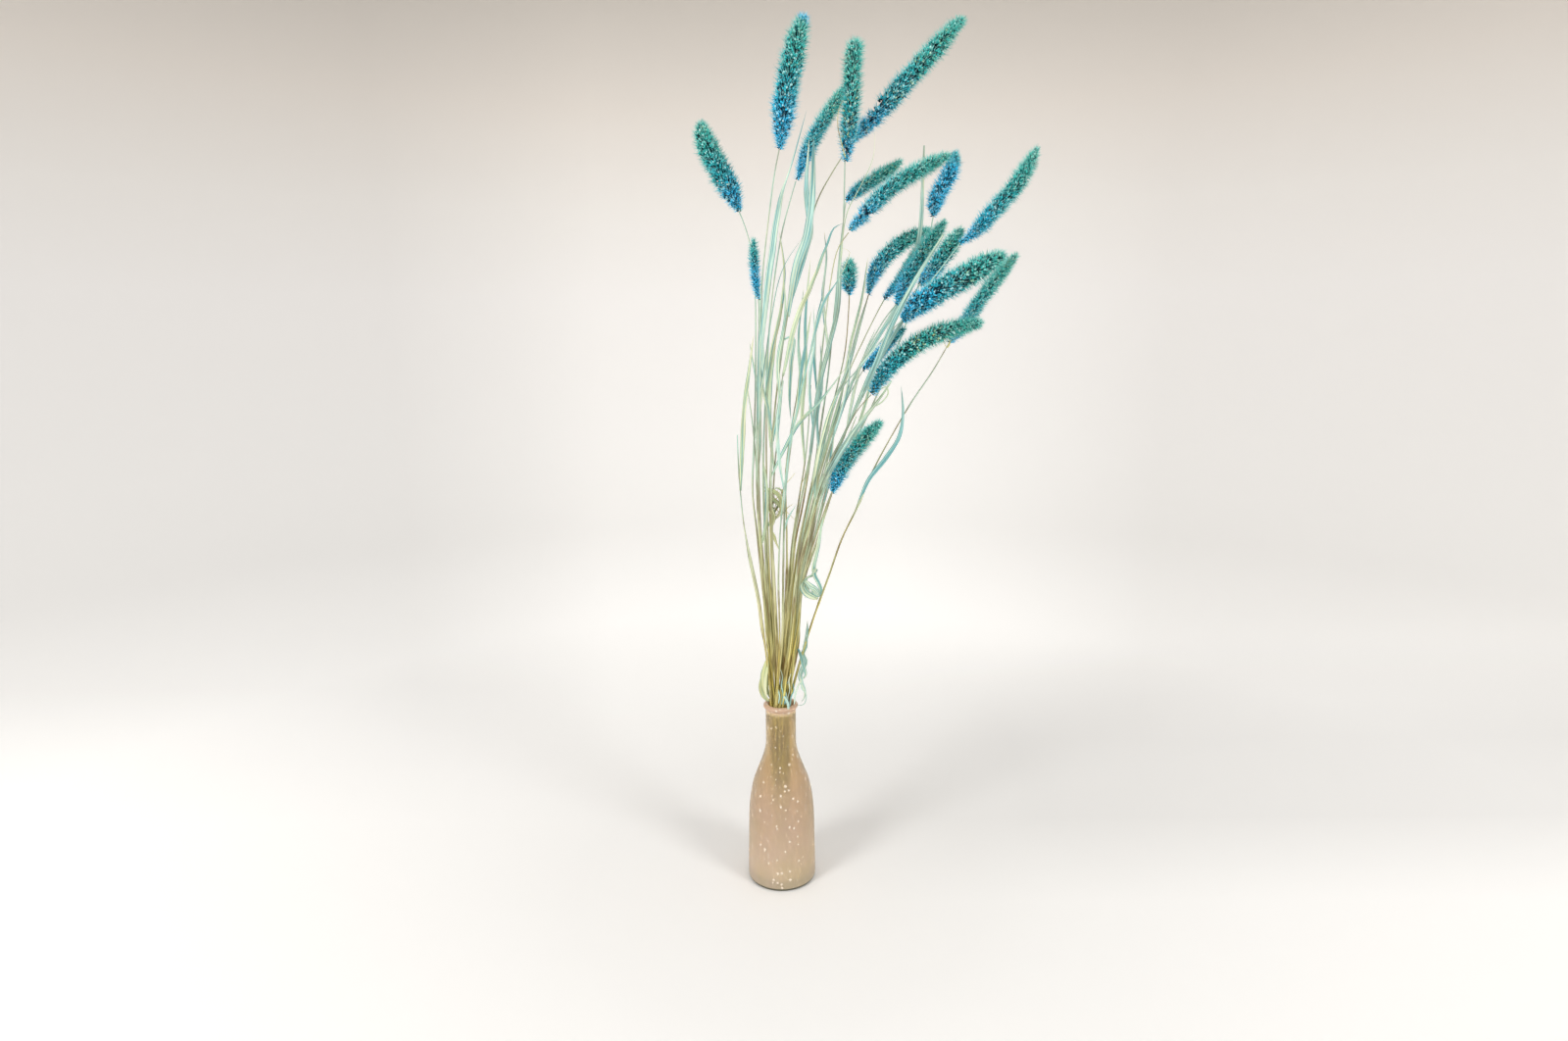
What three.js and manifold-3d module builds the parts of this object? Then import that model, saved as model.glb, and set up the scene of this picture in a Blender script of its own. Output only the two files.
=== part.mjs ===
// Dried setaria in a bottle vase. Millimetres, +Z up, the origin at the middle of the vase's flat base.
// Twenty dyed seed heads on thin stems with narrow leaves, and thirteen more leafy stems, stand in a
// frosted glass bottle. Each stem is one body with its own leaves, and each seed head is one body.

import * as THREE from "three";
import { mergeVertices } from "three/addons/utils/BufferGeometryUtils.js";
import Module from "manifold-3d";

const wasm = await Module();
wasm.setup();

// Vase
const BODY_R = 33;
const VASE_H = 180;
const BASE_R = 30;
const HEEL_H = 4.5;
const NECK_R = 14.5;
const RIM_R = 16.6;
const RIM_H = 9;
const MOUTH_R = 11.9;
const GLASS = 2.6;
const FLOOR_Z = 7;
const VASE_SIDES = 32;

// The vase's outside from the body to the neck, as [radius, height]. The inside follows it, a glass
// thickness in.
const BODY = [[BODY_R, 14], [32.4, 38], [31.5, 72], [29.7, 88], [26.9, 101], [22.6, 113], [18, 125], [14.9, 137],
  [NECK_R, 147]];

// Stems in the neck: rows of a hexagonal pattern, and the pattern narrows towards the stems' feet.
const SLOT_PITCH = 3.1;
const SLOT_REACH = 10.4;
const FOOT_SPREAD = 0.82;
const NECK_LOW_Z = 128;
const NECK_TOP_Z = 174;

// Stems, leaves and seed heads
const STEM_R = 1.1;
const STEM_TIP_R = 0.55;
const STEM_SIDES = 5;
const STEM_STEP = 34;
const LEAF_T = 0.66;
const LEAF_STEP = 22;
const HEAD_GAP = 0.3;
const HEAD_STEP = 3.7;
const TUFT_RISE = 0.24;
const TUFT_LEAN = 1.3;

// Places are given as seen from the front: x and z where a sight line from EYE meets the plane y = 0,
// with the depth behind that plane (negative in front of it) given apart.
const EYE = [4.6, -798, 513];

// How far apart two bodies are kept, and the height between the levels at which that is looked at.
const CLEAR = 0.8;
const LEVEL = 4;

// Stems with a seed head. depth is the place of the seed head behind the middle of the vase.
// foot is the height of the cut end above the vase's floor. path and head are [x, z] as seen from the front.
// A leaf grows from its stem at height "from", and its path goes on from there to the leaf's tip.
const HEADED = [
  {
    id: "a", depth: -28, foot: 30,
    path: [[-12, 241], [-15.5, 301], [-18, 381], [-17.5, 451], [-15, 531], [-12.5, 576], [-7, 621],
      [-1, 661], [3, 680]],
    head: [[3.5, 681], [6, 701], [8.5, 721], [12.5, 741], [17.5, 761], [22, 777], [25, 784]], r: 9,
    leaves: [{ from: 501, path: [[-11.5, 541], [-5, 591], [4, 641], [13.5, 668], [26.5, 711]], w: 5 }],
    sheaths: [[441, 546, 3.2]],
  },
  {
    id: "b", depth: 20, foot: 4,
    path: [[-11, 241], [-16, 296], [-20.5, 347], [-24, 385], [-22, 429], [-20, 481], [-19, 531], [-19.5, 571],
      [-22, 598], [-27.5, 618.5], [-32, 629.5]],
    head: [[-32, 630.5], [-39, 646.5], [-50, 666.5], [-59.5, 686.5], [-63.5, 701.5]], r: 9,
    leaves: [{ from: 431, path: [[-16.5, 461], [-13, 501], [-16, 546], [-10.5, 591]], w: 3.4 }],
  },
  {
    id: "c", depth: 52, foot: 40,
    path: [[-7, 241], [-11.5, 311], [-14, 401], [-10.5, 481], [-4.5, 556], [4.5, 611], [12, 638], [17, 654]],
    head: [[18.5, 656], [24, 671], [33.5, 691], [46.5, 710.5], [59.5, 729.5]], r: 5.3,
    leaves: [{ from: 471, path: [[-5, 511], [3, 546], [6.5, 581], [2.5, 613]], w: 3.4 }],
    sheaths: [[230, 360, 2.8]],
  },
  {
    id: "d", depth: -8, foot: 12,
    path: [[8.5, 240], [9, 262], [9.5, 284], [11.5, 308], [13.5, 338], [19, 370], [25.5, 402], [31, 433],
      [36.5, 477], [46, 516.5], [53, 545.5], [55, 580.5], [58, 620.5], [59, 669.5]],
    head: [[60, 670.5], [62, 690.5], [63.5, 710.5], [65, 735.5], [66, 755.5], [69, 764.5]], r: 7,
    leaves: [
      { from: 586, path: [[61, 627.5], [73, 650.5], [83, 672.5], [84.5, 694.5]], w: 2.2 },
      { from: 471, path: [[33, 501], [34, 531], [40.5, 562.5]], w: 2.8 },
    ],
    sheaths: [[441, 591, 4.2]],
  },
  {
    id: "e", depth: 26, foot: 25,
    path: [[-4, 241], [-6.5, 301], [-8, 371], [-5.5, 431], [1, 491], [11, 551], [23.5, 596], [35, 637], [48, 660.5],
      [66.5, 687.5]],
    head: [[67, 688], [79.5, 700.5], [98.5, 720.5], [116.5, 740], [136, 760], [152, 777], [157, 780]], r: 6.3,
    leaves: [
      { from: 541, path: [[17.5, 584], [26.5, 611], [31, 646], [32.5, 691]], w: 5 },
      { from: 553, path: [[23.5, 591], [29.5, 613], [26, 646], [28.5, 688]], w: 4 },
      { from: 521, path: [[14, 524], [12, 500], [10.5, 471], [11.5, 450]], w: 3.6 },
    ],
    sheaths: [[195, 310, 3]],
  },
  {
    id: "f", depth: 44, foot: 50,
    path: [[7.5, 240], [10, 262], [11.5, 284], [15, 308], [19, 338], [25.5, 370], [32, 402], [36.5, 431],
      [45, 490.5], [51, 550.5], [55.5, 600.5], [60, 636.5]],
    head: [[60.5, 638.5], [76.5, 650.5], [94, 660.5], [106, 669]], r: 4.5,
    leaves: [{ from: 501, path: [[43, 530.5], [40.5, 560.5], [43.5, 590.5], [41.5, 612.5]], w: 3 }],
  },
  {
    id: "g", depth: -18, foot: 18,
    path: [[5, 240], [7.5, 262], [9, 284], [12, 308], [15, 338], [21.5, 370], [27, 402], [30.5, 431],
      [39, 505.5], [45.5, 560.5], [53.5, 598.5], [62.5, 611.5]],
    head: [[63.5, 613.5], [75, 625.5], [89.5, 640.5], [109, 655], [130, 666], [147, 674]], r: 6.2,
    leaves: [{ from: 441, path: [[28.5, 481], [33, 521], [32, 549]], w: 3 }],
    sheaths: [[200, 310, 2.8], [411, 501, 3]],
  },
  {
    id: "h", depth: 62, foot: 8,
    path: [[15, 240], [18, 262], [20, 284], [25, 308], [35, 338], [44.5, 370], [55.5, 402], [81.5, 455.5],
      [103, 505], [120.5, 555], [130.5, 595], [135.5, 624]],
    head: [[135.5, 625], [138.5, 640], [149, 660], [153.5, 676]], r: 6.5,
    leaves: [{ from: 421, path: [[74.5, 450.5], [82.5, 480.5], [85, 512.5]], w: 3 }],
  },
  {
    id: "i", depth: -44, foot: 36,
    path: [[14, 240], [16.5, 262], [17.5, 284], [21.5, 308], [29, 338], [36.5, 370], [46.5, 402],
      [56.5, 428.5], [76.5, 475.5], [97, 513.5], [118, 548], [139.5, 576], [159.5, 602]],
    head: [[160, 602.5], [171.5, 610.5], [188.5, 629.5], [206, 649.5], [218, 669.5], [222.5, 678.5]], r: 6.3,
    leaves: [{ from: 471, path: [[89, 500.5], [100, 522.5], [105, 546]], w: 3 }],
    sheaths: [[230, 360, 3], [491, 576, 3.2]],
  },
  {
    id: "j", depth: 84, foot: 20,
    path: [[9, 240], [11.5, 262], [13.5, 284], [17, 308], [21.5, 338], [28, 370], [35.5, 402],
      [51.5, 465.5], [63, 496.5], [72, 530.5], [80.5, 559.5]],
    head: [[80.5, 560.5], [82.5, 570.5], [87.5, 581.5], [95.5, 591.5], [111.5, 604.5], [132.5, 613.5]], r: 6.2,
    leaves: [{ from: 486, path: [[66, 520.5], [74.5, 555.5], [79.5, 590.5]], w: 2.8 }],
    sheaths: [[471, 557, 3]],
  },
  {
    id: "k", depth: 34, foot: 60,
    path: [[12.5, 240], [14.5, 262], [15.5, 284], [19, 308], [24.5, 338], [31, 370], [38, 402],
      [48.5, 445.5], [62, 488.5], [75, 517.5], [88, 543.5], [94.5, 555.5]],
    head: [[94.5, 556], [106, 570], [118.5, 590], [126.5, 604]], r: 4.8,
    leaves: [{ from: 401, path: [[45, 430.5], [54.5, 460.5], [59.5, 480.5]], w: 3 }],
    sheaths: [[240, 370, 2.8]],
  },
  {
    id: "l", depth: 10, foot: 14,
    path: [[13.5, 240], [15.5, 262], [17, 284], [21, 308], [27.5, 338], [34.5, 370], [42, 402], [51, 438.5],
      [66.5, 483.5], [80, 512.5], [95, 538.5], [104.5, 550.5]],
    head: [[105.5, 551], [112.5, 569], [124.5, 590], [145.5, 620]], r: 5.8,
    leaves: [],
    sheaths: [[431, 501, 3]],
  },
  {
    id: "m", depth: -14, foot: 45,
    path: [[16, 240], [18, 262], [19.5, 284], [23.5, 308], [31.5, 338], [39, 370], [48, 402], [64.5, 448.5],
      [82, 492.5], [101, 532], [117.5, 557], [125.5, 567.5]],
    head: [[126, 568], [138.5, 582.5], [151, 600], [160.5, 613.5]], r: 6.5,
    leaves: [{ from: 441, path: [[67.5, 470.5], [75, 500.5], [87, 530.5]], w: 3.2 }],
    sheaths: [[240, 350, 3]],
  },
  {
    id: "n", depth: -78, foot: 10,
    path: [[9, 240], [11.5, 262], [13.5, 284], [16.5, 308], [21, 338], [27, 370], [34.5, 402], [41, 430.5],
      [54.5, 473.5], [72, 495.5], [93, 520.5], [110, 537]],
    head: [[111, 538], [125.5, 551.5], [145.5, 564], [166.5, 575], [185.5, 585.5], [198.5, 591.5]], r: 10,
    leaves: [{ from: 386, path: [[36.5, 420.5], [45.5, 455.5], [56.5, 482.5]], w: 3.4 }],
    sheaths: [[200, 340, 3]],
  },
  {
    id: "o", depth: 4, foot: 28,
    path: [[23, 236], [34, 271], [45.5, 303.5], [58.5, 341.5], [71, 367.5], [87, 405.5], [102.5, 435], [120.5, 466],
      [138, 492], [152, 516.5]],
    head: [[152.5, 517.5], [164.5, 532.5], [175.5, 549.5], [190.5, 569.5], [208.5, 592]], r: 5.8,
    leaves: [
      { from: 367, path: [[82, 394.5], [98, 415.5], [109.5, 435], [112.5, 455], [110.5, 480]], w: 4.2 },
      {
        from: 243, w: 4.6, step: 5,
        path: [[24.5, 236], [21.5, 229], [24, 221], [21, 214], [19, 207], [20.5, 199], [23.5, 191],
          [22.5, 184], [19.5, 180]],
      },
      { from: 233, path: [[26, 245], [26, 261]], w: 2.4 },
    ],
    sheaths: [[366, 392, 3.4]],
  },
  {
    id: "p", depth: -60, foot: 22,
    path: [[11.5, 240], [14, 262], [15.5, 284], [19, 308], [25.5, 338], [33.5, 370], [44, 402], [60, 436.5],
      [71.5, 458.5], [83.5, 472]],
    head: [[84.5, 473.5], [94, 490.5], [111, 507.5], [131, 520.5], [153, 529], [180, 534.5]], r: 7.5,
    leaves: [{ from: 369, path: [[34, 396], [41, 425.5], [46.5, 452.5]], w: 3.6 }],
    sheaths: [[376, 441, 3.2]],
  },
  {
    id: "q", depth: -34, foot: 55,
    path: [[13.5, 240], [15, 262], [16.5, 284], [19.5, 308], [25.5, 338], [32, 370], [40, 402], [49, 432.5],
      [60.5, 465.5], [76.5, 494.5]],
    head: [[77, 495], [90, 507.5], [102, 520.5], [111.5, 530]], r: 4.2,
    leaves: [{ from: 431, path: [[58.5, 462.5], [64, 490.5], [63, 515.5]], w: 2.6 }],
  },
  {
    id: "r", depth: -50, foot: 16,
    path: [[13.5, 236], [17.5, 260], [19, 284], [24, 310], [32, 336], [41, 364], [48, 383]],
    head: [[49.5, 384.5], [55, 400.5], [67.5, 420.5], [84.5, 440], [92.5, 447.5]], r: 6.3,
    leaves: [
      {
        from: 361, w: 4, step: 6,
        path: [[38.5, 350], [36.5, 336], [34, 324], [32, 314], [33, 305], [36.5, 298], [38.5, 290.5],
          [35.5, 285.5], [31, 290], [28.5, 297.5], [23.5, 297], [22, 289], [24.5, 283]],
      },
    ],
  },
  {
    id: "s", depth: 14, foot: 40,
    path: [[7.5, 240], [9.5, 262], [11, 284], [14, 308], [18.5, 338], [25.5, 370], [33.5, 402],
      [43.5, 440.5], [53.5, 480.5], [60, 510.5], [63, 545.5], [63.5, 559.5]],
    head: [[63.5, 560], [63, 574.5], [64, 588.5]], r: 5,
    leaves: [{ from: 416, path: [[35.5, 451], [39.5, 482.5], [38, 518.5]], w: 3.2 }],
  },
  {
    id: "t", depth: -10, foot: 60,
    path: [[-11, 241], [-16.5, 311], [-20, 391], [-18.5, 471], [-16, 546], [-16.5, 556.5]],
    head: [[-16.5, 557], [-19.5, 581], [-20, 606]], r: 4.7,
    leaves: [
      { from: 456, path: [[-11, 501], [-5, 541], [5, 581], [24, 610]], w: 2.8 },
      { from: 331, path: [[-12.5, 353], [-11, 386], [-15, 421]], w: 3.6 },
    ],
    sheaths: [[210, 340, 3]],
  },
];

// Stems of the same bunch that end in a blade, or broken off. blade is the height at which the stem turns
// into its last blade, wide w.
const HEADLESS = [
  {
    id: "1", depth: -36, foot: 10,
    path: [[-14, 235], [-17, 256], [-19.5, 279], [-23.5, 302], [-27, 320], [-30.5, 341], [-33, 359],
      [-35, 383], [-36.5, 412], [-37, 437]],
    leaves: [
      { from: 386, path: [[-32.5, 431.5], [-30.5, 461.5], [-25, 498], [-21, 526]], w: 4.4 },
      { from: 222, path: [[-14, 214], [-15.5, 206], [-15.5, 196], [-13, 185]], w: 6, step: 7 },
    ],
    sheaths: [[240, 345, 3.4]],
  },
  {
    id: "2", depth: 36, foot: 30,
    path: [[-5, 241], [-9.5, 311], [-11, 391], [-9.5, 471], [-4, 510], [3, 541], [4.5, 552]],
    leaves: [
      { from: 351, path: [[-6, 363], [0, 373], [4, 384], [-2.5, 388.5], [-6, 380]], w: 2.4, step: 6 },
    ],
  },
  {
    id: "3", depth: -50, foot: 24,
    path: [[-3, 241], [-5.5, 311], [-7, 381], [-5.5, 426], [1.5, 473], [8, 506]],
    leaves: [
      { from: 489, path: [[17, 538], [31.5, 570], [43.5, 600.5], [50, 615.5], [58, 619.5]], w: 4.6 },
      { from: 399, path: [[5.5, 424], [18.5, 447], [37.5, 466.5], [52.5, 485.5], [61.5, 497.5]], w: 3.4 },
      { from: 431, path: [[1.5, 466], [0, 501], [7, 541], [6.5, 573]], w: 3.4 },
    ],
    sheaths: [[200, 330, 3]],
  },
  {
    id: "4", depth: -68, foot: 35,
    path: [[2, 241], [3.5, 311], [6, 381], [11, 425], [19.5, 471], [28, 504], [38, 546.5]],
    leaves: [
      { from: 501, path: [[41.5, 553.5], [52.5, 570.5], [60.5, 585.5], [63.5, 596.5], [56.5, 598.5]], w: 3.4, step: 14 },
      { from: 456, path: [[22, 500], [27, 527], [30, 546]], w: 3 },
      { from: 346, path: [[7.5, 358], [16, 373]], w: 1.8 },
    ],
    sheaths: [[195, 300, 2.8]],
  },
  {
    id: "5", depth: 30, foot: 18,
    path: [[11, 240], [13, 262], [14, 284], [17.5, 308], [23, 338], [30.5, 370], [38, 402], [58.5, 465.5],
      [73, 494.5], [86, 517.5], [105, 549], [119.5, 587], [124.5, 612], [126, 655], [126.5, 682]],
    blade: 491, w: 3.2,
    leaves: [],
  },
  {
    id: "6", depth: -88, foot: 48,
    path: [[10, 240], [12, 262], [13.5, 284], [17, 308], [23.5, 338], [31.5, 370], [42, 402], [56, 430.5],
      [70.5, 460.5], [88, 500.5], [103, 537], [121.5, 572], [144.5, 609]],
    blade: 456, w: 4.2,
    leaves: [],
  },
  {
    id: "7", depth: -76, foot: 20,
    path: [[8.5, 240], [11, 262], [13, 284], [17, 308], [24, 338], [34, 370], [46, 402], [66, 435.5],
      [82.5, 457.5], [92.5, 470.5], [101.5, 484]],
    blade: 381, w: 5,
    leaves: [],
  },
  {
    id: "8", depth: 62, foot: 12,
    path: [[-9, 241], [-14.5, 311], [-19, 381], [-22.5, 441], [-27.5, 481.5]],
    leaves: [{ from: 396, path: [[-16.5, 431], [-17.5, 471], [-25, 521]], w: 3.4 }],
    sheaths: [[210, 330, 3]],
  },
  {
    id: "9", depth: 92, foot: 34,
    path: [[4, 241], [7, 311], [7, 351], [6.5, 401], [11, 438], [17.5, 475], [20.5, 501]],
    leaves: [{ from: 431, path: [[20.5, 476], [19, 521], [23.5, 566]], w: 3.6 }],
    sheaths: [[200, 330, 3]],
  },
  {
    id: "10", depth: -96, foot: 26,
    path: [[-0.5, 241], [-1, 301], [0.5, 340], [3.5, 375], [9.5, 421], [13.5, 453]],
    leaves: [{ from: 386, path: [[1, 411], [-0.5, 451], [5.5, 486]], w: 3.2 }],
  },
  {
    id: "11", depth: 74, foot: 40,
    path: [[17.5, 240], [18, 262], [19.5, 284], [23.5, 308], [32, 338], [40.5, 370], [50, 402],
      [61.5, 430.5], [70.5, 452.5]],
    leaves: [{ from: 371, path: [[46, 404], [49, 430], [53, 456]], w: 3.4 }],
  },
  {
    id: "12", depth: 104, foot: 8,
    path: [[-3, 241], [-6.5, 321], [-4, 401], [2.5, 461], [4.5, 485]],
    leaves: [{ from: 401, path: [[-7.5, 441], [-6.5, 481], [0, 531]], w: 3.6 }],
  },
  {
    id: "13", depth: 0, foot: 44,
    path: [[3, 241], [9, 301], [12.5, 340], [19, 381], [24, 412], [27, 441], [29.5, 481]],
    leaves: [{ from: 411, path: [[21.5, 451], [25, 496], [25, 541], [29.5, 591]], w: 3.4 }],
    sheaths: [[200, 330, 3.2]],
  },
];

const COLOURS = { glass: 0xc9b193, stem: 0xb3ab62, leafy: 0xa9c8ae, head: 0x2b8a9a };

// A place seen from the front, as a point in the model, and back.
function fromFront(x, z, depth) {
  const grow = 1 + depth / -EYE[1];
  return [EYE[0] + (x - EYE[0]) * grow, depth, EYE[2] + (z - EYE[2]) * grow];
}

function toFront([x, y, z]) {
  const grow = 1 + y / -EYE[1];
  return [EYE[0] + (x - EYE[0]) / grow, EYE[2] + (z - EYE[2]) / grow, y];
}

// A smooth line through the given points, as points about a step apart.
function smooth(points, step) {
  const curve = new THREE.CatmullRomCurve3(
    points.map(([x, z]) => new THREE.Vector3(x, 0, z)),
    false,
    "centripetal",
  );
  const count = Math.max(2, Math.round(curve.getLength() / step));
  return curve.getSpacedPoints(count).map((p) => [p.x, p.z]);
}

const ramp = (t) => Math.min(1, Math.max(0, t));

// The height at which a line of [x, z] points that rises passes z, as an x.
function xAt(line, z) {
  const i = line.findIndex((p) => p[1] >= z);
  if (i <= 0) return i === 0 ? line[0][0] : line.at(-1)[0];
  const [a, b] = [line[i - 1], line[i]];
  return a[0] + ((b[0] - a[0]) * (z - a[1])) / (b[1] - a[1] || 1);
}

// The places in the neck: rows from front to back, and in each row from left to right.
function neckRows() {
  const rows = [];
  const drop = (SLOT_PITCH * Math.sqrt(3)) / 2;
  for (let k = -3; k <= 3; k++) {
    const half = Math.sqrt(SLOT_REACH ** 2 - (k * drop) ** 2);
    const shift = k % 2 ? SLOT_PITCH / 2 : 0;
    const row = [];
    for (let x = shift; x <= half; x += SLOT_PITCH) row.push(x);
    for (let x = shift - SLOT_PITCH; x >= -half; x -= SLOT_PITCH) row.unshift(x);
    rows.push(row.map((x) => [x, k * drop]));
  }
  return rows;
}

// Every stem gets a place in the neck: the foremost stems in the front rows, and each row in the order
// in which its stems stand above the mouth.
function placeInNeck(strands) {
  const rows = neckRows();
  const spare = rows.flat().length - strands.length;
  const queue = [...strands].sort((a, b) => a.depth - b.depth);
  let left = spare;
  rows.forEach((row, i) => {
    const skip = Math.round(left / (rows.length - i));
    left -= skip;
    const places = row.slice(Math.floor(skip / 2), row.length - Math.ceil(skip / 2));
    const taken = queue.splice(0, places.length).sort((a, b) => xAt(a.path, 260) - xAt(b.path, 260));
    taken.forEach((s, k) => (s.slot = places[k]));
  });
}

// Each line as seen from the front, with its depth and its half width at every sample.
function linesOf(strand, order) {
  const [sx, sy] = strand.slot;
  const low = [
    [sx * FOOT_SPREAD, sy * FOOT_SPREAD, FLOOR_Z + strand.foot],
    [sx, sy, NECK_LOW_Z],
    [sx, sy, NECK_TOP_Z],
  ].map(toFront);
  const headZ = strand.path.at(-1)[1];
  const reach = strand.head ? strand.head.at(-1)[1] : headZ;
  const depthAt = (z) => {
    if (z <= low[1][1]) return low[0][2] + (low[1][2] - low[0][2]) * ramp((z - low[0][1]) / (low[1][1] - low[0][1]));
    return sy + (strand.depth - sy) * Math.max(0, (z - low[2][1]) / ((headZ + reach) / 2 - low[2][1])) ** 1.12;
  };
  const stem = {
    strand, kind: "stem", order,
    line: [low[0], low[1], ...smooth([low[2], ...strand.path], STEM_STEP)].map(([x, z]) => [x, z]),
    depthAt,
  };
  const n = stem.line.length - 1;
  stem.half = stem.line.map((p, i) => {
    const bare = STEM_R + (STEM_TIP_R - STEM_R) * (i / n) ** 2;
    const blade = strand.blade ? strand.w * ramp((p[1] - strand.blade) / 25) * (1 - 0.75 * ramp((i - n + 3) / 3)) : 0;
    const sheath = (strand.sheaths ?? []).find(([from, to]) => p[1] > from && p[1] < to);
    return Math.max(bare + blade / 2, sheath ? sheath[2] / 2 : 0);
  });
  const lines = [stem];
  if (strand.head) {
    const line = smooth(strand.head, HEAD_STEP);
    const m = line.length - 1;
    lines.push({
      strand, kind: "head", order, line, depthAt,
      half: line.map((p, i) => strand.r * headShape(i / m) * (1 + TUFT_RISE / 2)),
    });
  }
  strand.leaves.forEach((leaf, k) => {
    const root = [xAt(stem.line, leaf.from), leaf.from];
    const line = smooth([root, ...leaf.path], leaf.step ?? LEAF_STEP);
    const m = line.length - 1;
    const at = depthAt(leaf.from);
    const out = k % 2 ? 14 : -14;
    lines.push({
      strand, kind: "leaf", order, line, leaf,
      depthAt: (z) => at + (depthAt(z) - at) * 0.8 + out * ramp((z - leaf.from) / 200),
      half: line.map((p, i) => (leaf.w / 2) * leafShape(i / m)),
    });
  });
  return lines;
}

// Outline of a seed head and of a leaf along their length, as a share of the full half width.
function headShape(t) {
  const base = 0.55 + 0.45 * Math.sin((ramp(t / 0.32) * Math.PI) / 2);
  const tip = Math.sqrt(1 - 0.93 * ramp((t - 0.68) / 0.32) ** 2.4);
  return base * tip;
}

function leafShape(t) {
  if (t < 0.4) return 0.45 + 0.55 * Math.sin((t / 0.8) * Math.PI);
  return 0.14 + 0.86 * Math.cos(((t - 0.4) / 1.2) * Math.PI);
}

// Moves the lines apart in depth, where they would touch, and keeps them smooth. What one line covers is
// looked at on levels one above the other. The line whose stem has the smaller depth stays in front.
function keepApart(lines) {
  const count = Math.ceil(830 / LEVEL);
  const cover = lines.map((l) => {
    const low = new Array(count).fill(Infinity);
    const high = new Array(count).fill(-Infinity);
    const thick = new Array(count).fill(0);
    for (let i = 1; i < l.line.length; i++) {
      const [a, b] = [l.line[i - 1], l.line[i]];
      const steps = Math.ceil(Math.hypot(b[0] - a[0], b[1] - a[1]) / 1.5);
      for (let s = 0; s <= steps; s++) {
        const t = s / steps;
        const x = a[0] + (b[0] - a[0]) * t;
        const z = a[1] + (b[1] - a[1]) * t;
        const r = l.half[i - 1] + (l.half[i] - l.half[i - 1]) * t;
        const from = Math.max(0, Math.ceil((z - r) / LEVEL - 0.5));
        const to = Math.min(count - 1, Math.floor((z + r) / LEVEL + 0.5));
        for (let k = from; k <= to; k++) {
          const dz = Math.min(r, Math.abs(k * LEVEL - z));
          const w = Math.sqrt(Math.max(r * r - dz * dz, r * r * 0.1));
          low[k] = Math.min(low[k], x - w);
          high[k] = Math.max(high[k], x + w);
          thick[k] = Math.max(thick[k], l.kind === "leaf" ? r * 0.75 + 0.3 : r);
        }
      }
    }
    return { low, high, thick };
  });
  const depth = lines.map((l) => Array.from({ length: count }, (_, k) => l.depthAt(k * LEVEL)));
  const firstFree = Math.ceil(NECK_TOP_Z / LEVEL) + 1;
  const pairs = [];
  lines.forEach((p, i) => {
    lines.forEach((q, j) => {
      if (j <= i || p.strand === q.strand) return;
      const sign = p.order < q.order ? 1 : -1;
      for (let k = firstFree; k < count; k++) {
        const [a, b] = [cover[i], cover[j]];
        if (a.low[k] === Infinity || b.low[k] === Infinity) continue;
        const dx = Math.abs(a.low[k] + a.high[k] - b.low[k] - b.high[k]) / 2;
        const reach = (a.high[k] - a.low[k] + b.high[k] - b.low[k]) / 2 + CLEAR;
        if (dx >= reach) continue;
        const need = (a.thick[k] + b.thick[k] + CLEAR) * Math.sqrt(1 - (dx / reach) ** 2);
        const share = b.thick[k] / (a.thick[k] + b.thick[k]);
        pairs.push([i, j, k, need, sign, share]);
      }
    });
  });
  const joined = lines.map((l, i) => (l.kind === "stem" ? -1 : lines.findIndex((s) => s.strand === l.strand)));
  for (let round = 0; round < 260; round++) {
    const push = depth.map((d) => d.map(() => 0));
    let worst = 0;
    for (const [i, j, k, need, sign, share] of pairs) {
      const short = need - sign * (depth[j][k] - depth[i][k]);
      if (short <= 0) continue;
      worst = Math.max(worst, short);
      push[i][k] -= sign * short * share * 0.5;
      push[j][k] += sign * short * (1 - share) * 0.5;
    }
    if (worst < 0.05) break;
    push.forEach((d, i) => {
      for (let pass = 0; pass < 5; pass++) {
        let before = 0;
        for (let k = firstFree; k < count - 1; k++) {
          const now = d[k];
          d[k] = (before + 2 * now + d[k + 1]) / 4;
          before = now;
        }
      }
      for (let k = firstFree; k < count; k++) depth[i][k] += d[k];
    });
    // A head and the leaves stay joined to their stem.
    lines.forEach((l, i) => {
      if (joined[i] < 0) return;
      const z = l.kind === "head" ? l.line[0][1] : l.leaf.from;
      const k = Math.round(z / LEVEL);
      const off = depth[joined[i]][k] - depth[i][k];
      const fade = l.kind === "head" ? 400 : 90;
      for (let m = firstFree; m < count; m++) {
        depth[i][m] += off * Math.max(0, 1 - (Math.abs(m - k) * LEVEL) / fade);
      }
      if (l.kind !== "head") return;
      for (let m = firstFree; m < k; m++) depth[i][m] = depth[joined[i]][m];
    });
  }
  lines.forEach((l, i) => {
    l.points = l.line.map(([x, z]) => {
      const f = Math.min(count - 1.001, z / LEVEL);
      const k = Math.floor(f);
      const d = z < NECK_TOP_Z + LEVEL ? l.depthAt(z) : depth[i][k] + (depth[i][k + 1] - depth[i][k]) * (f - k);
      return new THREE.Vector3(...fromFront(x, z, d));
    });
    l.grow = l.points.map((p) => 1 + p.y / -EYE[1]);
  });
  return pairs.length;
}

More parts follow.
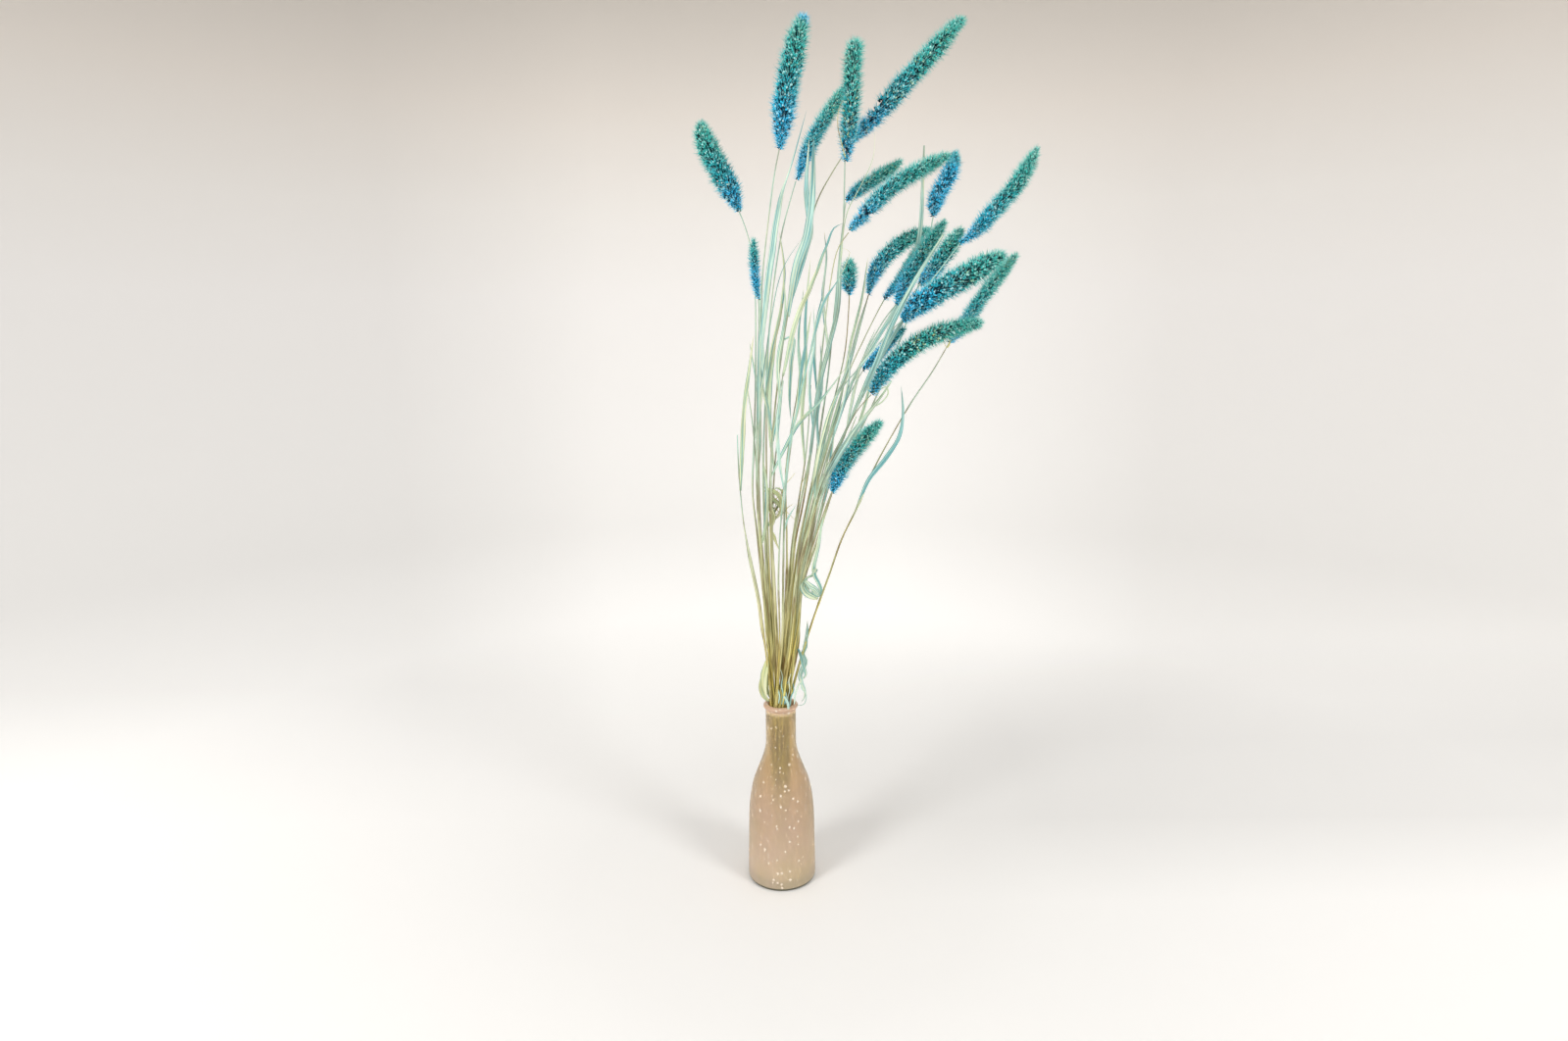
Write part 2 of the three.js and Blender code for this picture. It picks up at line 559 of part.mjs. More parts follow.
// Directions across a line of points: at each, the line's own direction and two sideways ones that turn
// as little as they can from one point to the next.
function framesAlong(points, across = new THREE.Vector3(1, 0, 0)) {
  let side = across.clone();
  return points.map((p, i) => {
    const ahead = points[Math.min(i + 1, points.length - 1)];
    const along = ahead.clone().sub(points[Math.max(i - 1, 0)]).normalize();
    side = side.clone().addScaledVector(along, -side.dot(along)).normalize();
    return { along, side, up: along.clone().cross(side) };
  });
}

// A closed body from rings of points, all alike in number, with an end point before the first ring and
// after the last. slant says for each quad which of its diagonals splits it.
function closedRings(rings, first, last, slant) {
  const around = rings[0].length;
  const at = (i, k) => 1 + i * around + ((k + around) % around);
  const end = 1 + rings.length * around;
  const index = [];
  for (let k = 0; k < around; k++) index.push(0, at(0, k + 1), at(0, k));
  for (let i = 0; i < rings.length - 1; i++) {
    for (let k = 0; k < around; k++) {
      const [a, b, c, d] = [at(i, k), at(i, k + 1), at(i + 1, k + 1), at(i + 1, k)];
      if (slant(i, k)) index.push(a, b, c, a, c, d);
      else index.push(a, b, d, b, c, d);
    }
  }
  for (let k = 0; k < around; k++) index.push(at(rings.length - 1, k), at(rings.length - 1, k + 1), end);
  const places = [first, ...rings.flat(), last].flatMap((p) => [p.x, p.y, p.z]);
  const geometry = new THREE.BufferGeometry();
  geometry.setAttribute("position", new THREE.Float32BufferAttribute(places, 3));
  geometry.setIndex(index);
  return geometry;
}

function solidFrom(geometry) {
  const bare = geometry.clone();
  bare.deleteAttribute("normal");
  bare.deleteAttribute("uv");
  const merged = mergeVertices(bare, 1e-4);
  const solid = new wasm.Manifold(
    new wasm.Mesh({
      numProp: 3,
      vertProperties: new Float32Array(merged.attributes.position.array),
      triVerts: new Uint32Array(merged.index.array),
    }),
  );
  return solid;
}

// Joins bodies into one. A crumb that the joining leaves beside it is dropped.
function joined(solids) {
  const all = solids.reduce((a, b) => a.add(b));
  return all.decompose().sort((a, b) => b.volume() - a.volume())[0];
}

function meshFrom(name, solid, colour, roughness) {
  const data = solid.getMesh();
  const geometry = new THREE.BufferGeometry();
  geometry.setAttribute("position", new THREE.BufferAttribute(new Float32Array(data.vertProperties), 3));
  geometry.setIndex(new THREE.BufferAttribute(new Uint32Array(data.triVerts), 1));
  geometry.computeVertexNormals();
  const mesh = new THREE.Mesh(geometry, new THREE.MeshStandardMaterial({ color: colour, roughness, metalness: 0 }));
  mesh.name = name;
  return mesh;
}

// A round stem. Where it turns into a blade its section is flat.
function stemSolid(line) {
  const frames = framesAlong(line.points);
  const rings = line.points.map((p, i) => {
    const half = line.half[i] * line.grow[i];
    const flat = Math.min(half, STEM_R * line.grow[i]) * (half > STEM_R * 1.4 ? 0.5 : 1);
    return Array.from({ length: STEM_SIDES }, (_, k) => {
      const turn = (k / STEM_SIDES) * 2 * Math.PI;
      return p
        .clone()
        .addScaledVector(frames[i].side, Math.cos(turn) * half)
        .addScaledVector(frames[i].up, Math.sin(turn) * flat);
    });
  });
  return solidFrom(closedRings(rings, line.points[0], line.points.at(-1), () => true));
}

// A thin flat leaf, whose foot is sunk in its stem, with a slow twist.
function leafSolid(line, number) {
  const frames = framesAlong(line.points);
  const n = line.points.length - 1;
  const corners = [[-1, -1], [1, -1], [1, 1], [-1, 1]];
  const rings = line.points.map((p, i) => {
    const half = Math.max(0.45, line.half[i] * line.grow[i]);
    const twist = 0.5 * Math.sin(number * 2.1) + 0.7 * Math.sin(number + 2.2) * (i / n);
    const across = frames[i].side.clone().applyAxisAngle(frames[i].along, twist);
    const out = frames[i].along.clone().cross(across);
    return corners.map(([a, b]) => {
      return p.clone().addScaledVector(across, a * half).addScaledVector(out, (b * LEAF_T) / 2);
    });
  });
  const tip = line.points[n].clone().addScaledVector(frames[n].along, 2.5);
  return solidFrom(closedRings(rings, line.points[0], tip, (i, k) => k !== 2));
}

// A seed head: a slim core whose surface rises in pointed tufts that lean towards the tip.
function headSolid(line, radius) {
  const frames = framesAlong(line.points);
  const n = line.points.length - 1;
  const around = Math.max(6, 2 * Math.round((2 * Math.PI * radius) / 5.4 / 2));
  const rings = line.points.slice(0, -1).map((p, i) => {
    const grow = line.grow[i];
    const core = radius * grow * headShape(i / n);
    return Array.from({ length: around }, (_, k) => {
      const tuft = (i + k) % 2 === 0;
      const turn = ((k + 0.18 * i) / around) * 2 * Math.PI;
      const out = core * (tuft ? 1 + TUFT_RISE / 2 : 1 - TUFT_RISE / 2);
      return p
        .clone()
        .addScaledVector(frames[i].side, Math.cos(turn) * out)
        .addScaledVector(frames[i].up, Math.sin(turn) * out)
        .addScaledVector(frames[i].along, tuft && i > 0 ? TUFT_LEAN : 0);
    });
  });
  const foot = line.points[0].clone().addScaledVector(frames[0].along, HEAD_GAP);
  rings[0].forEach((p) => p.addScaledVector(frames[0].along, HEAD_GAP));
  const tip = line.points[n].clone().addScaledVector(frames[n].along, 1);
  return solidFrom(closedRings(rings, foot, tip, (i, k) => (i + k) % 2 !== 0));
}

// The vase: outside up from the middle of the base, over the lip, and inside down to the floor.
function vaseSolid() {
  const body = new THREE.CatmullRomCurve3(
    BODY.map(([r, z]) => new THREE.Vector3(r, z, 0)),
    false,
    "centripetal",
  );
  const heel = [0.3, 0.65, 1].map((t) => {
    const turn = (t * Math.PI) / 2;
    return [BASE_R + (BODY_R - BASE_R) * Math.sin(turn), HEEL_H * (1 - Math.cos(turn))];
  });
  const lipZ = VASE_H - RIM_H;
  const outside = [
    [0, 0],
    [BASE_R, 0],
    ...heel,
    ...body.getPoints(11).map((p) => [p.x, p.y]),
    [NECK_R, lipZ - 3],
    [NECK_R + 0.5, lipZ],
    [RIM_R - 0.5, lipZ + 4],
    [RIM_R, lipZ + 6.5],
    [RIM_R - 1.4, VASE_H],
  ];
  const inside = [
    [MOUTH_R + 1, VASE_H],
    [MOUTH_R, VASE_H - 2],
    ...body.getPoints(7).reverse().map((p) => [p.x - GLASS, p.y]),
    [BODY_R - GLASS - 4, FLOOR_Z],
    [0, FLOOR_Z],
  ];
  const profile = [...outside, ...inside].map(([r, z]) => new THREE.Vector2(r, z));
  const turned = new THREE.LatheGeometry(profile, VASE_SIDES);
  turned.rotateX(Math.PI / 2);
  return solidFrom(turned);
}

const strands = [...HEADED, ...HEADLESS];
placeInNeck(strands);
const order = new Map([...strands].sort((a, b) => a.depth - b.depth).map((s, i) => [s, i]));
const lines = strands.flatMap((s) => linesOf(s, order.get(s)));
keepApart(lines);

const bunch = new THREE.Group();
bunch.add(meshFrom("vase", vaseSolid(), COLOURS.glass, 0.55));
strands.forEach((strand) => {
  const own = lines.filter((l) => l.strand === strand);
  const leaves = own.filter((l) => l.kind === "leaf").map((l, k) => leafSolid(l, order.get(strand) + k));
  const solid = joined([stemSolid(own[0]), ...leaves]);
  const name = strand.head ? "stem_" + strand.id : "leafy_stem_" + strand.id;
  bunch.add(meshFrom(name, solid, strand.head ? COLOURS.stem : COLOURS.leafy, 0.8));
  const head = own.find((l) => l.kind === "head");
  if (head) bunch.add(meshFrom("head_" + strand.id, headSolid(head, strand.r), COLOURS.head, 0.9));
});

export default bunch;
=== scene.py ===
# %% [markdown]
# # Dried setaria in a bottle vase
# A bunch of dyed foxtail grass stands in a frosted glass bottle. On the real object the seed heads carry
# thousands of grains and bristles, the stems are thin straws with leaf sheaths, and the leaves are paper
# thin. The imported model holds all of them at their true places, each as one plain solid. This notebook
# dresses that model: every solid is replaced by a finer piece that follows the same centre line.

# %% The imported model
import math

import bpy
import numpy as np
from mathutils import Euler, Matrix, Vector


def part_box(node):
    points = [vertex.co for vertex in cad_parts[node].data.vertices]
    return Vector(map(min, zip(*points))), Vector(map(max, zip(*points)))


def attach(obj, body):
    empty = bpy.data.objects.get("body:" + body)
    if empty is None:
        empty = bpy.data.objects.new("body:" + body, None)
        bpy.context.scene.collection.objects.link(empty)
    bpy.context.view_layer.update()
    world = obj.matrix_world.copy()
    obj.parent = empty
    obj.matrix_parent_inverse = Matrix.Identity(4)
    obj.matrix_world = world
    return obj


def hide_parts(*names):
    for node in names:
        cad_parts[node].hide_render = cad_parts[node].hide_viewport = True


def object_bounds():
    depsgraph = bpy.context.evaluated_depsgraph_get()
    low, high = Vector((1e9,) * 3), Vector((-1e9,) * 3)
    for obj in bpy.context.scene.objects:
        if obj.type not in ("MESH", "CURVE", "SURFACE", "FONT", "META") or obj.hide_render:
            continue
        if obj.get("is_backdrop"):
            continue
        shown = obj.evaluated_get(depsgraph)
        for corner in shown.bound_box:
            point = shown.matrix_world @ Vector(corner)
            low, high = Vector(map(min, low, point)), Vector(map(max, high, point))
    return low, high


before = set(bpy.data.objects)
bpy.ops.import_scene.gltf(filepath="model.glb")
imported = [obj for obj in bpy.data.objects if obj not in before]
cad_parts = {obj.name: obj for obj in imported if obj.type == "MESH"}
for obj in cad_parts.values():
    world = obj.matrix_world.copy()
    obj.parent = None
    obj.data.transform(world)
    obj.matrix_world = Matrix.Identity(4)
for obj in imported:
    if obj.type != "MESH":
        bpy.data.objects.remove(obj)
CAD_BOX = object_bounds()
MM = 0.001
print("nodes:", len(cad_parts), "box in mm:", [[round(c / MM, 1) for c in p] for p in CAD_BOX])

# %% [markdown]
# ## Camera
# The bunch is so branched that its likeness hangs on the viewpoint, so the camera comes first. It stands a
# little under a metre away, slightly above the middle of the bunch, and looks down by 11 degrees. The
# camera was also turned by a hair about its own line of sight.

# %% Camera
EYE = np.array([4.6, -798.0, 513.0])
PITCH = math.radians(11)
ROLL = 0.0079
PICTURE_W = 1600
FOCAL_PX = 900
SENSOR_MM = 36


def make_camera():
    data = bpy.data.cameras.new("camera")
    data.sensor_width = SENSOR_MM
    data.lens = SENSOR_MM * FOCAL_PX / PICTURE_W
    data.clip_start, data.clip_end = 0.02, 30
    camera = bpy.data.objects.new("camera", data)
    turn = Euler((math.pi / 2 - PITCH, 0, 0)).to_matrix() @ Matrix.Rotation(-ROLL, 3, "Z")
    camera.matrix_world = Matrix.Translation(Vector(EYE * MM)) @ turn.to_4x4()
    bpy.context.scene.collection.objects.link(camera)
    bpy.context.scene.camera = camera
    print("camera with a", round(data.lens, 2), "mm lens at", [round(c, 3) for c in camera.location])


make_camera()

# %% [markdown]
# ## The strands
# Each strand is one stem with its leaves, and most carry a seed head. Its places are given as seen from
# the front: x and z, in millimetres, where a sight line from the eye meets the plane y = 0. depth says how
# far behind that plane the seed head is, so a strand lies where the picture shows it and still has its own
# depth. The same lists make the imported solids, which is why the fine pieces fit them.

# %% Strands with and without a seed head
HEADED = [
    dict(id="a", depth=-28, foot=30, r=9,
         path=[(-12, 241), (-15.5, 301), (-18, 381), (-17.5, 451), (-15, 531), (-12.5, 576), (-7, 621),
               (-1, 661), (3, 680)],
         head=[(3.5, 681), (6, 701), (8.5, 721), (12.5, 741), (17.5, 761), (22, 777), (25, 784)],
         sheaths=[(441, 546, 3.2)],
         leaves=[dict(root=501, w=5, path=[(-11.5, 541), (-5, 591), (4, 641), (13.5, 668), (26.5, 711)])]),
    dict(id="b", depth=20, foot=4, r=9,
         path=[(-11, 241), (-16, 296), (-20.5, 347), (-24, 385), (-22, 429), (-20, 481), (-19, 531),
               (-19.5, 571), (-22, 598), (-27.5, 618.5), (-32, 629.5)],
         head=[(-32, 630.5), (-39, 646.5), (-50, 666.5), (-59.5, 686.5), (-63.5, 701.5)],
         leaves=[dict(root=431, w=3.4, path=[(-16.5, 461), (-13, 501), (-16, 546), (-10.5, 591)])]),
    dict(id="c", depth=52, foot=40, r=5.3,
         path=[(-7, 241), (-11.5, 311), (-14, 401), (-10.5, 481), (-4.5, 556), (4.5, 611), (12, 638),
               (17, 654)],
         head=[(18.5, 656), (24, 671), (33.5, 691), (46.5, 710.5), (59.5, 729.5)],
         sheaths=[(230, 360, 2.8)],
         leaves=[dict(root=471, w=3.4, path=[(-5, 511), (3, 546), (6.5, 581), (2.5, 613)])]),
    dict(id="d", depth=-8, foot=12, r=7,
         path=[(8.5, 240), (9, 262), (9.5, 284), (11.5, 308), (13.5, 338), (19, 370), (25.5, 402),
               (31, 433), (36.5, 477), (46, 516.5), (53, 545.5), (55, 580.5), (58, 620.5), (59, 669.5)],
         head=[(60, 670.5), (62, 690.5), (63.5, 710.5), (65, 735.5), (66, 755.5), (69, 764.5)],
         sheaths=[(441, 591, 4.2)],
         leaves=[dict(root=586, w=2.2, path=[(61, 627.5), (73, 650.5), (83, 672.5), (84.5, 694.5)]),
                 dict(root=471, w=2.8, path=[(33, 501), (34, 531), (40.5, 562.5)])]),
    dict(id="e", depth=26, foot=25, r=6.3,
         path=[(-4, 241), (-6.5, 301), (-8, 371), (-5.5, 431), (1, 491), (11, 551), (23.5, 596), (35, 637),
               (48, 660.5), (66.5, 687.5)],
         head=[(67, 688), (79.5, 700.5), (98.5, 720.5), (116.5, 740), (136, 760), (152, 777), (157, 780)],
         sheaths=[(195, 310, 3)],
         leaves=[dict(root=541, w=5, path=[(17.5, 584), (26.5, 611), (31, 646), (32.5, 691)]),
                 dict(root=553, w=4, path=[(23.5, 591), (29.5, 613), (26, 646), (28.5, 688)]),
                 dict(root=521, w=3.6, path=[(14, 524), (12, 500), (10.5, 471), (11.5, 450)])]),
    dict(id="f", depth=44, foot=50, r=4.5,
         path=[(7.5, 240), (10, 262), (11.5, 284), (15, 308), (19, 338), (25.5, 370), (32, 402),
               (36.5, 431), (45, 490.5), (51, 550.5), (55.5, 600.5), (60, 636.5)],
         head=[(60.5, 638.5), (76.5, 650.5), (94, 660.5), (106, 669)],
         leaves=[dict(root=501, w=3, path=[(43, 530.5), (40.5, 560.5), (43.5, 590.5), (41.5, 612.5)])]),
    dict(id="g", depth=-18, foot=18, r=6.2,
         path=[(5, 240), (7.5, 262), (9, 284), (12, 308), (15, 338), (21.5, 370), (27, 402), (30.5, 431),
               (39, 505.5), (45.5, 560.5), (53.5, 598.5), (62.5, 611.5)],
         head=[(63.5, 613.5), (75, 625.5), (89.5, 640.5), (109, 655), (130, 666), (147, 674)],
         sheaths=[(200, 310, 2.8), (411, 501, 3)],
         leaves=[dict(root=441, w=3, path=[(28.5, 481), (33, 521), (32, 549)])]),
    dict(id="h", depth=62, foot=8, r=6.5,
         path=[(15, 240), (18, 262), (20, 284), (25, 308), (35, 338), (44.5, 370), (55.5, 402),
               (81.5, 455.5), (103, 505), (120.5, 555), (130.5, 595), (135.5, 624)],
         head=[(135.5, 625), (138.5, 640), (149, 660), (153.5, 676)],
         leaves=[dict(root=421, w=3, path=[(74.5, 450.5), (82.5, 480.5), (85, 512.5)])]),
    dict(id="i", depth=-44, foot=36, r=6.3,
         path=[(14, 240), (16.5, 262), (17.5, 284), (21.5, 308), (29, 338), (36.5, 370), (46.5, 402),
               (56.5, 428.5), (76.5, 475.5), (97, 513.5), (118, 548), (139.5, 576), (159.5, 602)],
         head=[(160, 602.5), (171.5, 610.5), (188.5, 629.5), (206, 649.5), (218, 669.5), (222.5, 678.5)],
         sheaths=[(230, 360, 3), (491, 576, 3.2)],
         leaves=[dict(root=471, w=3, path=[(89, 500.5), (100, 522.5), (105, 546)])]),
    dict(id="j", depth=84, foot=20, r=6.2,
         path=[(9, 240), (11.5, 262), (13.5, 284), (17, 308), (21.5, 338), (28, 370), (35.5, 402),
               (51.5, 465.5), (63, 496.5), (72, 530.5), (80.5, 559.5)],
         head=[(80.5, 560.5), (82.5, 570.5), (87.5, 581.5), (95.5, 591.5), (111.5, 604.5), (132.5, 613.5)],
         sheaths=[(471, 557, 3)],
         leaves=[dict(root=486, w=2.8, path=[(66, 520.5), (74.5, 555.5), (79.5, 590.5)])]),
    dict(id="k", depth=34, foot=60, r=4.8,
         path=[(12.5, 240), (14.5, 262), (15.5, 284), (19, 308), (24.5, 338), (31, 370), (38, 402),
               (48.5, 445.5), (62, 488.5), (75, 517.5), (88, 543.5), (94.5, 555.5)],
         head=[(94.5, 556), (106, 570), (118.5, 590), (126.5, 604)],
         sheaths=[(240, 370, 2.8)],
         leaves=[dict(root=401, w=3, path=[(45, 430.5), (54.5, 460.5), (59.5, 480.5)])]),
    dict(id="l", depth=10, foot=14, r=5.8,
         path=[(13.5, 240), (15.5, 262), (17, 284), (21, 308), (27.5, 338), (34.5, 370), (42, 402),
               (51, 438.5), (66.5, 483.5), (80, 512.5), (95, 538.5), (104.5, 550.5)],
         head=[(105.5, 551), (112.5, 569), (124.5, 590), (145.5, 620)],
         sheaths=[(431, 501, 3)],
         leaves=[]),
    dict(id="m", depth=-14, foot=45, r=6.5,
         path=[(16, 240), (18, 262), (19.5, 284), (23.5, 308), (31.5, 338), (39, 370), (48, 402),
               (64.5, 448.5), (82, 492.5), (101, 532), (117.5, 557), (125.5, 567.5)],
         head=[(126, 568), (138.5, 582.5), (151, 600), (160.5, 613.5)],
         sheaths=[(240, 350, 3)],
         leaves=[dict(root=441, w=3.2, path=[(67.5, 470.5), (75, 500.5), (87, 530.5)])]),
    dict(id="n", depth=-78, foot=10, r=10,
         path=[(9, 240), (11.5, 262), (13.5, 284), (16.5, 308), (21, 338), (27, 370), (34.5, 402),
               (41, 430.5), (54.5, 473.5), (72, 495.5), (93, 520.5), (110, 537)],
         head=[(111, 538), (125.5, 551.5), (145.5, 564), (166.5, 575), (185.5, 585.5), (198.5, 591.5)],
         sheaths=[(200, 340, 3)],
         leaves=[dict(root=386, w=3.4, path=[(36.5, 420.5), (45.5, 455.5), (56.5, 482.5)])]),
    dict(id="o", depth=4, foot=28, r=5.8,
         path=[(23, 236), (34, 271), (45.5, 303.5), (58.5, 341.5), (71, 367.5), (87, 405.5), (102.5, 435),
               (120.5, 466), (138, 492), (152, 516.5)],
         head=[(152.5, 517.5), (164.5, 532.5), (175.5, 549.5), (190.5, 569.5), (208.5, 592)],
         sheaths=[(366, 392, 3.4)],
         leaves=[dict(root=367, w=4.2, path=[(82, 394.5), (98, 415.5), (109.5, 435), (112.5, 455),
                       (110.5, 480)]),
                 dict(root=243, w=4.6, step=5, path=[(24.5, 236), (21.5, 229), (24, 221), (21, 214),
                       (19, 207), (20.5, 199), (23.5, 191), (22.5, 184), (19.5, 180)]),
                 dict(root=233, w=2.4, path=[(26, 245), (26, 261)])]),
    dict(id="p", depth=-60, foot=22, r=7.5,
         path=[(11.5, 240), (14, 262), (15.5, 284), (19, 308), (25.5, 338), (33.5, 370), (44, 402),
               (60, 436.5), (71.5, 458.5), (83.5, 472)],
         head=[(84.5, 473.5), (94, 490.5), (111, 507.5), (131, 520.5), (153, 529), (180, 534.5)],
         sheaths=[(376, 441, 3.2)],
         leaves=[dict(root=369, w=3.6, path=[(34, 396), (41, 425.5), (46.5, 452.5)])]),
    dict(id="q", depth=-34, foot=55, r=4.2,
         path=[(13.5, 240), (15, 262), (16.5, 284), (19.5, 308), (25.5, 338), (32, 370), (40, 402),
               (49, 432.5), (60.5, 465.5), (76.5, 494.5)],
         head=[(77, 495), (90, 507.5), (102, 520.5), (111.5, 530)],
         leaves=[dict(root=431, w=2.6, path=[(58.5, 462.5), (64, 490.5), (63, 515.5)])]),
    dict(id="r", depth=-50, foot=16, r=6.3,
         path=[(13.5, 236), (17.5, 260), (19, 284), (24, 310), (32, 336), (41, 364), (48, 383)],
         head=[(49.5, 384.5), (55, 400.5), (67.5, 420.5), (84.5, 440), (92.5, 447.5)],
         leaves=[dict(root=361, w=4, step=6, path=[(38.5, 350), (36.5, 336), (34, 324), (32, 314),
                       (33, 305), (36.5, 298), (38.5, 290.5), (35.5, 285.5), (31, 290), (28.5, 297.5),
                       (23.5, 297), (22, 289), (24.5, 283)])]),
    dict(id="s", depth=14, foot=40, r=5,
         path=[(7.5, 240), (9.5, 262), (11, 284), (14, 308), (18.5, 338), (25.5, 370), (33.5, 402),
               (43.5, 440.5), (53.5, 480.5), (60, 510.5), (63, 545.5), (63.5, 559.5)],
         head=[(63.5, 560), (63, 574.5), (64, 588.5)],
         leaves=[dict(root=416, w=3.2, path=[(35.5, 451), (39.5, 482.5), (38, 518.5)])]),
    dict(id="t", depth=-10, foot=60, r=4.7,
         path=[(-11, 241), (-16.5, 311), (-20, 391), (-18.5, 471), (-16, 546), (-16.5, 556.5)],
         head=[(-16.5, 557), (-19.5, 581), (-20, 606)],
         sheaths=[(210, 340, 3)],
         leaves=[dict(root=456, w=2.8, path=[(-11, 501), (-5, 541), (5, 581), (24, 610)]),
                 dict(root=331, w=3.6, path=[(-12.5, 353), (-11, 386), (-15, 421)])]),
]
HEADLESS = [
    dict(id="1", depth=-36, foot=10,
         path=[(-14, 235), (-17, 256), (-19.5, 279), (-23.5, 302), (-27, 320), (-30.5, 341), (-33, 359),
               (-35, 383), (-36.5, 412), (-37, 437)],
         sheaths=[(240, 345, 3.4)],
         leaves=[dict(root=386, w=4.4, path=[(-32.5, 431.5), (-30.5, 461.5), (-25, 498), (-21, 526)]),
                 dict(root=222, w=6, step=7, path=[(-14, 214), (-15.5, 206), (-15.5, 196), (-13, 185)])]),
    dict(id="2", depth=36, foot=30,
         path=[(-5, 241), (-9.5, 311), (-11, 391), (-9.5, 471), (-4, 510), (3, 541), (4.5, 552)],
         leaves=[dict(root=351, w=2.4, step=6, path=[(-6, 363), (0, 373), (4, 384), (-2.5, 388.5),
                       (-6, 380)])]),
    dict(id="3", depth=-50, foot=24,
         path=[(-3, 241), (-5.5, 311), (-7, 381), (-5.5, 426), (1.5, 473), (8, 506)],
         sheaths=[(200, 330, 3)],
         leaves=[dict(root=489, w=4.6, path=[(17, 538), (31.5, 570), (43.5, 600.5), (50, 615.5),
                       (58, 619.5)]),
                 dict(root=399, w=3.4, path=[(5.5, 424), (18.5, 447), (37.5, 466.5), (52.5, 485.5),
                       (61.5, 497.5)]),
                 dict(root=431, w=3.4, path=[(1.5, 466), (0, 501), (7, 541), (6.5, 573)])]),
    dict(id="4", depth=-68, foot=35,
         path=[(2, 241), (3.5, 311), (6, 381), (11, 425), (19.5, 471), (28, 504), (38, 546.5)],
         sheaths=[(195, 300, 2.8)],
         leaves=[dict(root=501, w=3.4, step=14, path=[(41.5, 553.5), (52.5, 570.5), (60.5, 585.5),
                       (63.5, 596.5), (56.5, 598.5)]),
                 dict(root=456, w=3, path=[(22, 500), (27, 527), (30, 546)]),
                 dict(root=346, w=1.8, path=[(7.5, 358), (16, 373)])]),
    dict(id="5", depth=30, foot=18, blade=491, w=3.2,
         path=[(11, 240), (13, 262), (14, 284), (17.5, 308), (23, 338), (30.5, 370), (38, 402),
               (58.5, 465.5), (73, 494.5), (86, 517.5), (105, 549), (119.5, 587), (124.5, 612), (126, 655),
               (126.5, 682)],
         leaves=[]),
    dict(id="6", depth=-88, foot=48, blade=456, w=4.2,
         path=[(10, 240), (12, 262), (13.5, 284), (17, 308), (23.5, 338), (31.5, 370), (42, 402),
               (56, 430.5), (70.5, 460.5), (88, 500.5), (103, 537), (121.5, 572), (144.5, 609)],
         leaves=[]),
    dict(id="7", depth=-76, foot=20, blade=381, w=5,
         path=[(8.5, 240), (11, 262), (13, 284), (17, 308), (24, 338), (34, 370), (46, 402), (66, 435.5),
               (82.5, 457.5), (92.5, 470.5), (101.5, 484)],
         leaves=[]),
    dict(id="8", depth=62, foot=12,
         path=[(-9, 241), (-14.5, 311), (-19, 381), (-22.5, 441), (-27.5, 481.5)],
         sheaths=[(210, 330, 3)],
         leaves=[dict(root=396, w=3.4, path=[(-16.5, 431), (-17.5, 471), (-25, 521)])]),
    dict(id="9", depth=92, foot=34,
         path=[(4, 241), (7, 311), (7, 351), (6.5, 401), (11, 438), (17.5, 475), (20.5, 501)],
         sheaths=[(200, 330, 3)],
         leaves=[dict(root=431, w=3.6, path=[(20.5, 476), (19, 521), (23.5, 566)])]),
    dict(id="10", depth=-96, foot=26,
         path=[(-0.5, 241), (-1, 301), (0.5, 340), (3.5, 375), (9.5, 421), (13.5, 453)],
         leaves=[dict(root=386, w=3.2, path=[(1, 411), (-0.5, 451), (5.5, 486)])]),
    dict(id="11", depth=74, foot=40,
         path=[(17.5, 240), (18, 262), (19.5, 284), (23.5, 308), (32, 338), (40.5, 370), (50, 402),
               (61.5, 430.5), (70.5, 452.5)],
         leaves=[dict(root=371, w=3.4, path=[(46, 404), (49, 430), (53, 456)])]),
    dict(id="12", depth=104, foot=8,
         path=[(-3, 241), (-6.5, 321), (-4, 401), (2.5, 461), (4.5, 485)],
         leaves=[dict(root=401, w=3.6, path=[(-7.5, 441), (-6.5, 481), (0, 531)])]),
    dict(id="13", depth=0, foot=44,
         path=[(3, 241), (9, 301), (12.5, 340), (19, 381), (24, 412), (27, 441), (29.5, 481)],
         sheaths=[(200, 330, 3.2)],
         leaves=[dict(root=411, w=3.4, path=[(21.5, 451), (25, 496), (25, 541), (29.5, 591)])]),
]
print("strands:", len(HEADED), "with a seed head and", len(HEADLESS), "without")

# %% [markdown]
# ## Smooth lines
# A grass stem has no corners. A centripetal Catmull-Rom curve passes through the given points and makes no
# loops between them, and points at even distances along it keep the rings of a tube evenly spaced.

# %% Smooth lines
SAMPLES = 201
SHORTEST = 1e-8


def nearest(value):
    """The nearest whole number."""
    return math.floor(value + 0.5)


def spline_points(points, t):
    """The curve through the points, at t from 0 to 1."""
    p = np.vstack([2 * points[0] - points[1], points, 2 * points[-1] - points[-2]])
    at = np.clip(t, 0, 1) * (len(points) - 1)
    k = np.minimum(at.astype(int), len(points) - 2)
    w = (at - k)[:, None]
    p0, p1, p2, p3 = (p[k + j] for j in range(4))
    d0, d1, d2 = (np.maximum(np.linalg.norm(b - a, axis=1), SHORTEST)[:, None] ** 0.5
                  for a, b in ((p0, p1), (p1, p2), (p2, p3)))
    m1 = ((p1 - p0) / d0 - (p2 - p0) / (d0 + d1) + (p2 - p1) / d1) * d1
    m2 = ((p2 - p1) / d1 - (p3 - p1) / (d1 + d2) + (p3 - p2) / d2) * d1
    return p1 + m1 * w + (3 * (p2 - p1) - 2 * m1 - m2) * w**2 + (2 * (p1 - p2) + m1 + m2) * w**3


